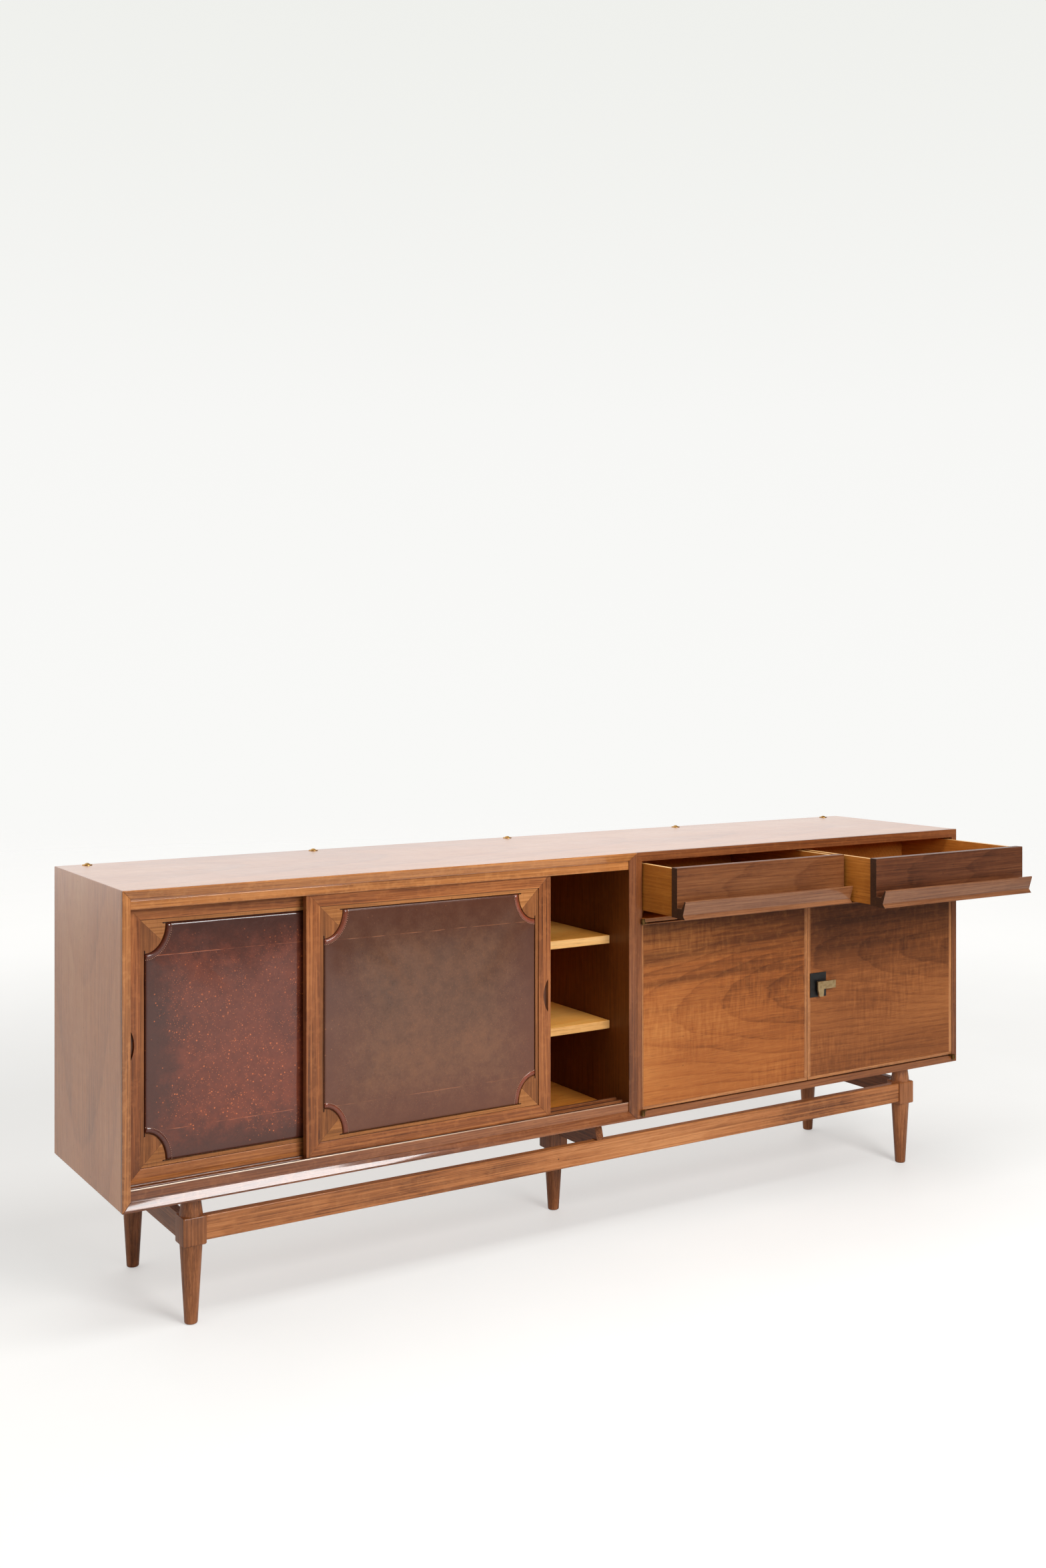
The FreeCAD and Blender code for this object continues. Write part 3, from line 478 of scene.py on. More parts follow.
@dataclass(frozen=True)
class Timber:
    """One sort of wood as cut and polished: its colours, figure and lacquer."""

    name: str
    dark: Tint
    middle: Tint
    light: Tint
    spacing: float = 0.011
    ring: float = 0.30
    streak: float = 0.42
    mottle: float = 0.55
    fine: float = 0.22
    wave: float = 0.008
    rise: float = 0.05
    tilt: float = 0.05
    ripple: float = 0.0
    roughness: float = 0.38
    coat: float = 0.25
    coat_roughness: float = 0.2
    coat_ior: float = 1.5
    sheen_level: float = 0.2
    rubbed: float = 0.12
    dents: float = 0.35

    def figure(self, g: Graph, run: Run, seed: float, centre: float) -> tuple[Socket, Node]:
        """Add this wood's figure along a run.

        Args:
            g: the material's graph.
            run: the way the grain runs.
            seed: moves the pattern, so that no two boards match.
            centre: where the crown of the arches lies across the board, in metres.

        Returns:
            The wood's colour and the figure's group node.
        """
        parts = g.split(g.place())
        across, depth, along = (parts[i] for i in run.value)
        wood = g.group(TIMBER, Across=across, Depth=depth, Along=along, Seed=seed, Spacing=self.spacing,
                       Ring=self.ring, Streak=self.streak, Mottle=self.mottle, Fine=self.fine,
                       Wave=self.wave, Centre=centre, Rise=self.rise, Tilt=self.tilt, Ripple=self.ripple)
        colour = g.ramp(wood.outputs["Tone"], (0.08, paint(*self.dark)), (0.5, paint(*self.middle)),
                        (0.92, paint(*self.light)))
        return colour, wood

    def finish(self, g: Graph, shader: Node, colour: Socket, wood: Node, seed: float) -> None:
        """Lay polish, pores, dents and rubbed spots over a figure and feed the shader.

        Args:
            g: the material's graph.
            shader: the material's Principled shader.
            colour: the figure's colour.
            wood: the figure's group node.
            seed: moves the signs of wear.
        """
        use = g.group(WEAR, Place=g.place(), Seed=seed)
        for mask, strength, tint in ((wood.outputs["Pores"], 0.38, shaded(self.dark, 0.45)),
                                     (use.outputs["Rubbed"], self.rubbed, paint(*self.light)),
                                     (use.outputs["Dents"], self.dents, shaded(self.dark, 0.4))):
            colour = g.blend(g.math("MULTIPLY", mask, strength), colour, tint)
        g.feed(shader.inputs["Base Color"], colour)
        rough = g.math("MULTIPLY_ADD", use.outputs["Smudge"], 0.22, self.roughness - 0.11)
        g.feed(shader.inputs["Roughness"], g.math("MULTIPLY_ADD", wood.outputs["Pores"], 0.12, rough))
        shader.inputs["Specular IOR Level"].default_value = self.sheen_level
        shader.inputs["Coat Weight"].default_value = self.coat
        shader.inputs["Coat Roughness"].default_value = self.coat_roughness
        shader.inputs["Coat IOR"].default_value = self.coat_ior
        height = g.math("MULTIPLY_ADD", use.outputs["Dents"], -1.2, wood.outputs["Height"])
        relief(g, shader, height, 0.35, 0.4 * MM)

    def material(self, run: Run, seed: float = 0.0, centre: float = 0.0,
                 heart: Triple | None = None) -> bpy.types.Material:
        """Return this wood along a run; the same request gives the same material.

        Args:
            run: the way the grain runs.
            seed: moves the pattern.
            centre: where the crown of the arches lies across the board.
            heart: painted shade that darkens the board towards its top, for the drawers' shadow on the
                doors,
            with some darker heartwood: the heights in metres where it is deepest and where it has faded
                out,
            and its strength; none leaves the board even.

        Returns:
            The material.
        """
        label = f"{self.name}_{run.name.lower()}_{seed:g}_{centre:g}"
        if label in bpy.data.materials:
            return bpy.data.materials[label]
        material, g, shader = new_material(label)
        colour, wood = self.figure(g, run, seed, centre)
        # Painted shade: the colour darkens towards the top, for the drawers' shadow on the doors, with
        # some darker heartwood.
        if heart:
            band = g.noise(g.vector("MULTIPLY", g.place(), (2.2, 2.2, 60)), 1, 3)
            tone = g.math("SUBTRACT", wood.outputs["Tone"], 0.5)
            up = g.math("MULTIPLY_ADD", tone, -0.16, g.split(g.place())[2])
            up = g.math("MULTIPLY_ADD", g.math("SUBTRACT", band, 0.5), 0.34, up)
            shade = g.remap(up, heart[1], heart[0], 0.0, heart[2])
            colour = g.blend(shade, colour, shaded(self.dark, 0.74))
        self.finish(g, shader, colour, wood, seed)
        return material


@dataclass(frozen=True)
class Leather:
    """A polished, worn hide: a mottled heart, a rim of another tint, specks and tooled lines.

    The rim's strength and reach in metres are rim_depth and rim_width; top_shade is painted shade, how
    much darker the top and paler the foot are than the middle, and speckled how strongly the specks show.
    """

    name: str
    dark: Tint
    light: Tint
    rim: Tint
    speck: Tint
    speckled: float = 0.8
    roughness: float = 0.34
    seed: float = 0.0
    rim_depth: float = 0.85
    rim_width: float = 0.11
    top_shade: float = 0.16

    def material(self, low: Sequence[float] = (-9.0, 0.0, -9.0), high: Sequence[float] = (9.0, 0.0, 9.0),
                 lines: Sequence[float] = ()) -> bpy.types.Material:
        """Return the leather.

        Args:
            low, high: corners of the panel, which place the rim.
            lines: heights in metres where a seam was pressed across it.

        Returns:
            The material.
        """
        material, g, shader = new_material(self.name)
        place = g.place()
        x, _, up = g.split(place)
        hide = g.group(HIDE, Place=place, Seed=self.seed)
        cloud = g.remap(hide.outputs["Cloud"], 0.30, 0.70)
        colour = g.blend(cloud, paint(*self.dark), paint(*self.light))
        inside = g.math("MINIMUM", g.within(x, low[0], high[0]), g.within(up, low[2], high[2]))
        near = g.math("MULTIPLY_ADD", g.math("SUBTRACT", hide.outputs["Cloud"], 0.5), 0.22, inside)
        rim = g.remap(near, 0.004, self.rim_width, self.rim_depth, 0.0)
        colour = g.blend(rim, colour, paint(*self.rim))
        # Painted shade: the colour darkens towards the top and lightens towards the foot.
        aged = g.remap(up, low[2], high[2], 1.0 + self.top_shade, 1.0 - self.top_shade)
        colour = g.blend(1.0, colour, g.combine(aged, aged, aged), "MULTIPLY")
        many = g.remap(up, low[2] + 0.2, high[2], self.speckled, 0.3 * self.speckled)
        for mask, strength, tint in ((hide.outputs["Specks"], many, paint(*self.speck)),
                                     (hide.outputs["Scratches"], 0.16, shaded(self.dark, 0.5))):
            colour = g.blend(g.math("MULTIPLY", mask, strength), colour, tint)
        height = hide.outputs["Height"]
        for level in lines:
            drift = g.math("MULTIPLY_ADD", g.noise(place, 12, 2), 0.003, up)
            off = g.math("ABSOLUTE", g.math("SUBTRACT", drift, level + 0.0015))
            line = g.math("MULTIPLY", g.remap(off, 0.0003, 0.0012, 1.0, 0.0),
                          g.remap(g.noise(place, 18, 3), 0.42, 0.62))
            colour = g.blend(g.math("MULTIPLY", line, 0.4), colour, paint(*self.speck))
            height = g.math("MULTIPLY_ADD", line, -0.5, height)
        g.feed(shader.inputs["Base Color"], colour)
        g.feed(shader.inputs["Roughness"], g.math("MULTIPLY_ADD", cloud, 0.16, self.roughness - 0.08))
        shader.inputs["Specular IOR Level"].default_value = 0.2
        shader.inputs["Coat Weight"].default_value = 0.85
        shader.inputs["Coat Roughness"].default_value = 0.09
        shader.inputs["Coat IOR"].default_value = 1.55
        relief(g, shader, height, 0.6, 0.9 * MM)
        return material


@dataclass(frozen=True)
class Metal:
    """A metal or painted finish with tarnish."""

    name: str
    bright: Tint
    dull: Tint
    metallic: float = 1.0
    roughness: float = 0.3

    def material(self) -> bpy.types.Material:
        """Return the finish; the same request gives the same material."""
        if self.name in bpy.data.materials:
            return bpy.data.materials[self.name]
        material, g, shader = new_material(self.name)
        place = g.place()
        use = g.group(WEAR, Place=place, Seed=4.0)
        tarnish = g.remap(g.noise(place, 90, 3, 0.5), 0.35, 0.8)
        g.feed(shader.inputs["Base Color"], g.blend(tarnish, paint(*self.bright), paint(*self.dull)))
        shader.inputs["Metallic"].default_value = self.metallic
        g.feed(shader.inputs["Roughness"], g.math("MULTIPLY_ADD", tarnish, 0.2, self.roughness))
        height = g.math("SUBTRACT", g.noise(place, 420, 2), use.outputs["Dents"])
        relief(g, shader, height, 0.2, 0.2 * MM)
        return material


CASE_WOOD = Timber("case_veneer", (122, 68, 34), (180, 112, 62), (204, 144, 92), spacing=0.018, ring=0.14,
                   wave=0.005, mottle=0.35, coat=1.0, coat_roughness=0.22, coat_ior=1.8, sheen_level=0.5)
# A lighter copy of the case veneer for the end panels: painted reflection, the glare of the pale room on
# the ends.
GLARE_SIDE_WOOD = replace(CASE_WOOD, name="side_veneer", dark=(136, 78, 40), middle=(200, 126, 70),
                    light=(222, 160, 104))
LIPPING_WOOD = Timber("case_lipping", (70, 35, 17), (124, 70, 37), (156, 97, 54), ring=0.12,
                      streak=0.55, rubbed=0.2, roughness=0.34, coat=0.5, coat_roughness=0.1)
TRIM_WOOD = Timber("edge_moulding", (102, 56, 26), (172, 108, 57), (208, 142, 84), ring=0.12,
                   streak=0.55, rubbed=0.25, roughness=0.3, coat=1.0, coat_roughness=0.07,
                   sheen_level=0.15)
INNER_WOOD = Timber("interior_veneer", (152, 84, 25), (196, 118, 43), (220, 148, 65), ring=0.2, streak=0.3,
                    roughness=0.48, coat=0.1)
JAMB_WOOD = Timber("jamb_veneer", (82, 38, 9), (113, 57, 16), (142, 80, 29), ring=0.15,
                   roughness=0.5, coat=0.1)
# A lighter copy of the interior veneer for the tops of the shelves: painted light.
LIT_SHELF_TOP_WOOD = Timber("shelf_veneer", (214, 136, 50), (244, 168, 74), (250, 196, 110), ring=0.2, streak=0.3,
                    roughness=0.4, coat=0.2)
SHELF_EDGE_WOOD = Timber("shelf_edge", (188, 130, 68), (222, 168, 102), (236, 194, 134), ring=0.12,
                         roughness=0.5, coat=0.05)
SILL_WOOD = replace(TRIM_WOOD, name="sill_moulding", dark=(66, 33, 17), middle=(124, 70, 38),
                    light=(160, 102, 62))
SLIDER_WOOD = Timber("slider_frame", (66, 33, 15), (136, 76, 37), (186, 117, 64), ring=0.12,
                     streak=0.66, rubbed=0.2, coat=0.4, coat_roughness=0.1)
# A darker copy of the frame wood: painted shade inside the finger recess and in the track's grooves.
SHADED_RECESS_WOOD = replace(SLIDER_WOOD, name="finger_recess", dark=(34, 16, 9), middle=(66, 34, 18),
                      light=(104, 60, 34))
FRIEZE_SIDE_WOOD = Timber("frieze_side", (74, 40, 20), (130, 77, 39), (172, 108, 60), ring=0.1, streak=0.6)
FRIEZE_RAIL_WOOD = Timber("frieze_rail", (88, 51, 25), (149, 92, 46), (190, 128, 74), ring=0.1, streak=0.6)
DOOR_WOOD = Timber("door_veneer", (94, 45, 17), (162, 92, 42), (196, 126, 65), spacing=0.019, ring=0.19,
                   streak=0.24, wave=0.014, tilt=0.12, ripple=0.22, coat=0.12)
DARK_DOOR_WOOD = replace(DOOR_WOOD, name="dark_door_veneer", dark=(86, 43, 19), middle=(138, 79, 39),
                         light=(178, 111, 60))
DRAWER_WOOD = Timber("drawer_veneer", (50, 25, 12), (103, 58, 31), (134, 84, 49), ring=0.2, streak=0.6)
PULL_WOOD = replace(DRAWER_WOOD, name="pull_timber", dark=(70, 38, 20), middle=(116, 70, 42),
                    light=(146, 98, 64), coat=0.9, coat_roughness=0.12)
DARK_DRAWER_WOOD = replace(DRAWER_WOOD, name="dark_drawer_veneer", dark=(44, 22, 12), middle=(88, 48, 28),
                           light=(118, 72, 44))
BOX_WOOD = Timber("drawer_lining", (136, 76, 22), (174, 104, 36), (202, 132, 58), ring=0.15, roughness=0.5,
                  coat=0.05)
END_GRAIN = Timber("end_grain", (34, 18, 10), (58, 34, 20), (84, 52, 32), ring=0.3, spacing=0.003,
                   roughness=0.55, coat=0.05)
BASE_WOOD = Timber("base_timber", (84, 45, 23), (138, 82, 45), (176, 112, 68), ring=0.12,
                   streak=0.7, dents=0.8, coat=0.5, coat_roughness=0.12)
RAIL_WOOD = replace(BASE_WOOD, name="rail_timber", dark=(104, 57, 28), middle=(176, 109, 60),
                    light=(208, 142, 88))
BRASS = Metal("aged_brass", (214, 166, 92), (120, 84, 40))
DARK_BRASS = Metal("tarnished_brass", (132, 100, 56), (58, 42, 26), roughness=0.42)
PALE_BRASS = Metal("satin_brass", (214, 184, 138), (176, 142, 96))
BLACK = Metal("black_paint", (16, 16, 17), (30, 29, 28), metallic=0.0, roughness=0.35)
LEFT_LEATHER = Leather("rear_door_leather", (84, 35, 20), (120, 54, 31), (66, 31, 21), (212, 110, 56),
                       speckled=1.0, seed=1.7)
RIGHT_LEATHER = Leather("front_door_leather", (82, 49, 29), (112, 69, 42), (86, 42, 24), (180, 106, 60),
                        speckled=0.4, seed=6.1, rim_depth=0.75, rim_width=0.15, top_shade=0.22)
THREAD = Leather("stitching_thread", (176, 120, 92), (206, 156, 126), (190, 138, 108), (226, 190, 160),
                 roughness=0.5)


# ------------------------------------------------------------------ mesh helpers

@dataclass
class Shell:
    """Points and faces of one closed surface, in metres."""

    points: np.ndarray
    faces: np.ndarray

    @staticmethod
    def of_rings(rings: np.ndarray) -> "Shell":
        """Join a stack of closed rings by four-sided faces.

        Args:
            rings: points as an array of (ring, place on the ring, xyz). A ring whose points all
                coincide makes a closed pole.

        Returns:
            The surface.
        """
        count, around = rings.shape[:2]
        row, column = np.meshgrid(np.arange(count - 1), np.arange(around), indexing="ij")
        after = (column + 1) % around
        faces = np.stack([row * around + column, row * around + after, (row + 1) * around + after,
                          (row + 1) * around + column], axis=-1)
        return Shell(rings.reshape(-1, 3), faces.reshape(-1, 4))

    @staticmethod
    def joined(shells: Sequence["Shell"]) -> "Shell":
        """Put several surfaces in one.

        Args:
            shells: the surfaces.

        Returns:
            One surface with all their faces.
        """
        starts = np.cumsum([0] + [len(s.points) for s in shells[:-1]])
        return Shell(np.concatenate([s.points for s in shells]),
                     np.concatenate([s.faces + start for s, start in zip(shells, starts)]))

    @staticmethod
    def turned(profile: Sequence[tuple[float, float]], centre: tuple[float, float],
               around: int = 64) -> "Shell":
        """Turn a profile of (radius, height) about an upright axis through centre.

        Each point is the centre plus its radius times (cos, sin) of the angle, at its height.

        Args:
            profile: pairs of radius and height, from the foot up.
            centre: x and y of the axis.
            around: points on a turn.

        Returns:
            The turned surface.
        """
        radius, height = np.array(profile).T
        angle = np.linspace(0, 4 * QUARTER, around, endpoint=False)
        rings = np.stack([centre[0] + radius[:, None] * np.cos(angle),
                          centre[1] + radius[:, None] * np.sin(angle),
                          np.broadcast_to(height[:, None], (len(radius), around))], axis=-1)
        return Shell.of_rings(rings)

    @staticmethod
    def eased_block(low: np.ndarray, high: np.ndarray, ease: float) -> "Shell":
        """Make an upright block whose twelve edges are rounded.

        Each ring is a rounded square; near the two ends the rings draw in along a quarter circle.

        Args:
            low, high: opposite corners of the block.
            ease: the radius of its rounded edges.

        Returns:
            The surface.
        """
        half = (high - low) / 2
        turn = np.linspace(0, QUARTER, 6)
        arcs = turn + QUARTER * np.arange(4)[:, None]
        signs = np.array([(1, 1), (-1, 1), (-1, -1), (1, -1)])
        corner = ease * np.stack([np.cos(arcs), np.sin(arcs)], -1) + ((half[:2] - ease) * signs)[:, None]
        corner = corner.reshape(-1, 2)
        rise = ease * (1 - np.cos(turn))
        pull = 1 - ease * (1 - np.sin(turn)) / half[0]
        scale = np.concatenate([[0], pull, pull[::-1], [0]])
        level = np.concatenate([[low[2]], low[2] + rise, high[2] - rise[::-1], [high[2]]])
        middle = (low + high) / 2
        rings = np.empty((len(scale), len(corner), 3))
        rings[:, :, :2] = middle[:2] + scale[:, None, None] * corner
        rings[:, :, 2] = level[:, None]
        return Shell.of_rings(rings)

    def piece(self, name: str, body: str, slot: str, material: bpy.types.Material,
              sharp: float = 40.0) -> bpy.types.Object:
        """Make this surface an object that rides on a body.

        Args:
            name: the piece's name.
            body: the CAD body that it rides on.
            slot: the name of a material slot; not used.
            material: what it is made of.
            sharp: edges that turn by more than this many degrees stay crisp.

        Returns:
            The object.
        """
        mesh = bpy.data.meshes.new(name)
        mesh.from_pydata(self.points.tolist(), [], self.faces.tolist())
        shape = bmesh.new()
        shape.from_mesh(mesh)
        bmesh.ops.remove_doubles(shape, verts=shape.verts, dist=1e-7)
        bmesh.ops.dissolve_degenerate(shape, edges=shape.edges, dist=1e-8)
        bmesh.ops.recalc_face_normals(shape, faces=shape.faces)
        shape.to_mesh(mesh)
        shape.free()
        mesh.polygons.foreach_set("use_smooth", np.ones(len(mesh.polygons), bool))
        mesh.set_sharp_from_angle(angle=math.radians(sharp))
        mesh.materials.append(material)
        item = bpy.data.objects.new(name, mesh)
        bpy.context.scene.collection.objects.link(item)
        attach(item, body)
        LOG.info("%s: %d faces on %s", name, len(mesh.polygons), body)
        return item


def facing(axis: int, sign: int) -> Rule:
    """Return a rule that picks the faces whose normal points along an axis."""
    return lambda normals, centres: normals[:, axis] * sign > 0.7


def between(axis: int, low: float, high: float) -> Rule:
    """Return a rule that picks the faces whose centre lies between two places on an axis."""
    return lambda normals, centres: (centres[:, axis] > low) & (centres[:, axis] < high)


def dress(node: str, base: bpy.types.Material,
          *rules: tuple[Rule, bpy.types.Material]) -> bpy.types.Object:
    """Give a CAD node its material, and other materials to the faces that rules pick.

    Args:
        node: the CAD node's name.
        base: the material of every face that no rule picks.
        rules: pairs of a rule on face normals and centres, and the material it brings.

    Returns:
        The node's object.
    """
    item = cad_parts[node]
    mesh = item.data
    mesh.materials.clear()
    for material in (base, *(m for _, m in rules)):
        mesh.materials.append(material)
    count = len(mesh.polygons)
    normals, centres = np.empty(count * 3), np.empty(count * 3)
    mesh.polygons.foreach_get("normal", normals)
    mesh.polygons.foreach_get("center", centres)
    index = np.zeros(count, np.int32)
    for number, (rule, _) in enumerate(rules, start=1):
        index[rule(normals.reshape(-1, 3), centres.reshape(-1, 3))] = number
    mesh.polygons.foreach_set("material_index", index)
    return item


def ease(item: bpy.types.Object, width: float, segments: int = 2) -> None:
    """Round a CAD board's edges: its loose triangles are welded and its corners bevelled.

    Args:
        item: the node's object.
        width: how far the rounding reaches from each edge, in metres.
        segments: faces across the rounding.
    """
    weld = item.modifiers.new("weld", "WELD")
    weld.merge_threshold = 1e-5
    bevel = item.modifiers.new("eased edges", "BEVEL")
    bevel.width = width
    bevel.segments = segments
    bevel.limit_method = "ANGLE"
    bevel.angle_limit = math.radians(32)
    bevel.use_clamp_overlap = True
    bevel.harden_normals = True


# ------------------------------------------------------------------ sub-assemblies

@dataclass
class Case:
    """The carcass: outer boards, mouldings, tracks, partitions and everything fixed inside."""

    board_ease: float = 0.0012
    moulding_ease: float = 0.0008
    track_ease: float = 0.0022
    lipping_foot: float = 0.0179
    lipping_head: float = 0.0219

    def painted_lip_glint(self, node: str) -> bpy.types.Material:
        """Return the track's wood with a painted highlight: a pale line along its front upper edge for the
        glint of the lamps.

        The mask is the distance in the y-z plane from that edge's line, and fades towards +X.

        Args:
            node: the track that it is for.

        Returns:
            The material.
        """
        low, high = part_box(node)
        material, g, shader = new_material(node + "_rubbed")
        colour, wood = SILL_WOOD.figure(g, Run.LENGTH_UPRIGHT, 16, 0.0)
        place = g.place()
        x, y, z = g.split(place)
        reach = g.math("ADD", g.math("ABSOLUTE", g.math("SUBTRACT", y, low.y)),
                       g.math("ABSOLUTE", g.math("SUBTRACT", z, high.z)))
        ragged = g.noise(g.vector("MULTIPLY", place, (3, 200, 200)), 1, 3)
        reach = g.math("MULTIPLY_ADD", ragged, 0.0012, reach)
        # Painted highlight: the pale line along the lip, fading towards +X, stands in for a glint.
        worn = g.math("MULTIPLY", g.remap(reach, 0.0030, 0.0046, 0.9, 0.0),
                      g.remap(x, -0.85, -0.15, 1.0, 0.3))
        colour = g.blend(worn, colour, paint(246, 222, 196))
        SILL_WOOD.finish(g, shader, colour, wood, 16)
        return material

    def dress_boards(self) -> None:
        """Dress the outer boards, the partitions and the backs: veneered out, honey-coloured in."""
        ease(dress("top_panel", CASE_WOOD.material(Run.LENGTH_FLAT, 1, 0.05)), self.board_ease)
        floor = INNER_WOOD.material(Run.LENGTH_FLAT, 3)
        bottom = dress("bottom_panel", CASE_WOOD.material(Run.LENGTH_FLAT, 2), (facing(2, 1), floor))
        ease(bottom, self.board_ease)
        for node, seed, inward in (("left_side_panel", 4, 1), ("right_side_panel", 5, -1)):
            # The ends' outer faces take the lighter copy, painted glare.
            side = dress(node, GLARE_SIDE_WOOD.material(Run.UPRIGHT_SIDE, seed, 0.03),
                         (facing(0, inward), INNER_WOOD.material(Run.UPRIGHT_SIDE, seed)))
            ease(side, self.board_ease)
        for node, seed in (("left_bay_partition", 6), ("right_bay_partition", 7)):
            wall = dress(node, JAMB_WOOD.material(Run.UPRIGHT_SIDE, seed),
                         (facing(1, -1), LIPPING_WOOD.material(Run.UPRIGHT_FRONT, seed)))
            ease(wall, self.moulding_ease)
        outside = CASE_WOOD.material(Run.UPRIGHT_FRONT, 9, 0.2)
        back = dress("back_panels", INNER_WOOD.material(Run.UPRIGHT_FRONT, 8, 0.1),
                     (facing(1, 1), outside))
        ease(back, self.moulding_ease)

    def dress_edges(self) -> None:
        """Dress the lippings, the four mouldings and the two door tracks."""
        low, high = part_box("case_edge_lippings")
        upright = between(2, low.z + self.lipping_foot, high.z - self.lipping_head)
        lippings = dress("case_edge_lippings", LIPPING_WOOD.material(Run.LENGTH_UPRIGHT, 10),
                         (upright, LIPPING_WOOD.material(Run.UPRIGHT_FRONT, 11)))
        ease(lippings, self.moulding_ease)
        for side, wood, run, seed in (("bottom", SILL_WOOD, Run.LENGTH_UPRIGHT, 12),
                                      ("top", TRIM_WOOD, Run.LENGTH_UPRIGHT, 13),
                                      ("left", TRIM_WOOD, Run.UPRIGHT_FRONT, 14),
                                      ("right", LIPPING_WOOD, Run.UPRIGHT_FRONT, 15)):
            ease(dress("frame_moulding_" + side, wood.material(run, seed)), self.moulding_ease)
        # Painted shade: the lower track's upward faces and grooves take the darker recess wood.
        grooves = SHADED_RECESS_WOOD.material(Run.LENGTH_FLAT, 16)
        # The lower track takes a painted highlight along its lip.
        track = dress("lower_door_track", self.painted_lip_glint("lower_door_track"), (facing(2, 1), grooves))
        ease(track, self.track_ease, 3)
        ease(dress("upper_door_track", TRIM_WOOD.material(Run.LENGTH_UPRIGHT, 17)), self.track_ease, 3)

    def dress_inside(self) -> None:
        """Dress the shelves, their pins, and the boards and runners round the drawers."""
        for node, seed in (("upper_shelf", 18), ("lower_shelf", 19), ("cupboard_shelf", 20)):
            # The shelves' tops take the lighter copy, painted light; their undersides the plain interior
            # veneer.
            board = dress(node, INNER_WOOD.material(Run.LENGTH_FLAT, seed),
                          (facing(2, 1), LIT_SHELF_TOP_WOOD.material(Run.LENGTH_FLAT, seed)),
                          (facing(1, -1), SHELF_EDGE_WOOD.material(Run.LENGTH_UPRIGHT, seed)))
            ease(board, self.moulding_ease)
        front = TRIM_WOOD.material(Run.LENGTH_UPRIGHT, 21)
        dust = dress("drawer_dust_panel", INNER_WOOD.material(Run.LENGTH_FLAT, 21),
                     (facing(1, -1), front))
        ease(dust, self.moulding_ease)
        divider = dress("drawer_centre_divider", INNER_WOOD.material(Run.UPRIGHT_SIDE, 22))
        ease(divider, self.moulding_ease)
        ease(dress("drawer_runners", BOX_WOOD.material(Run.DEEP_FLAT, 23)), self.moulding_ease)
        dress("shelf_pins", BRASS.material())
        for node in ("left_door_pivots", "right_door_pivots"):
            dress(node, DARK_BRASS.material())

    def build(self) -> None:
        """Dress every node of the carcass."""
        self.dress_boards()
        self.dress_edges()
        self.dress_inside()
        LOG.info("case: boards, edges and inside dressed")


@dataclass
class TopFittings:
    """Five low domed brass fittings along the rear of the top."""

    flange: float = 0.0115
    dome: float = 0.0070
    dome_round: float = 0.0089
    edge: float = 0.0016
    rise: float = 0.0034
    count: int = 5

    def build(self) -> None:
        """Turn each fitting from a profile: flat flange with an eased rim, then a round dome."""
        low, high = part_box("brass_top_fittings")
        ends = (low.x + self.flange, high.x - self.flange)
        middle_y = (low.y + high.y) / 2
        angle = np.linspace(math.asin(self.dome / self.dome_round), 0, 10)
        radius = self.dome_round * np.sin(angle)
        drop = self.dome_round * (np.cos(angle) - math.cos(angle[0]))
        ledge, chamfer = low.z + self.edge, 0.0005
        profile = [(0.0, low.z), (self.flange, low.z), (self.flange, ledge - chamfer),
                   (self.flange - chamfer, ledge), (self.dome + 0.0004, ledge)]
        profile += list(zip(radius.tolist(), (ledge + drop * self.rise / drop[-1]).tolist()))
        shells = [Shell.turned(profile, (float(x), middle_y), 48)
                  for x in np.linspace(*ends, self.count)]
        brass = BRASS.material()
        piece = Shell.joined(shells).piece("domed_brass_fittings", "case", "fitting_brass", brass)
        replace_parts(piece, "brass_top_fittings")


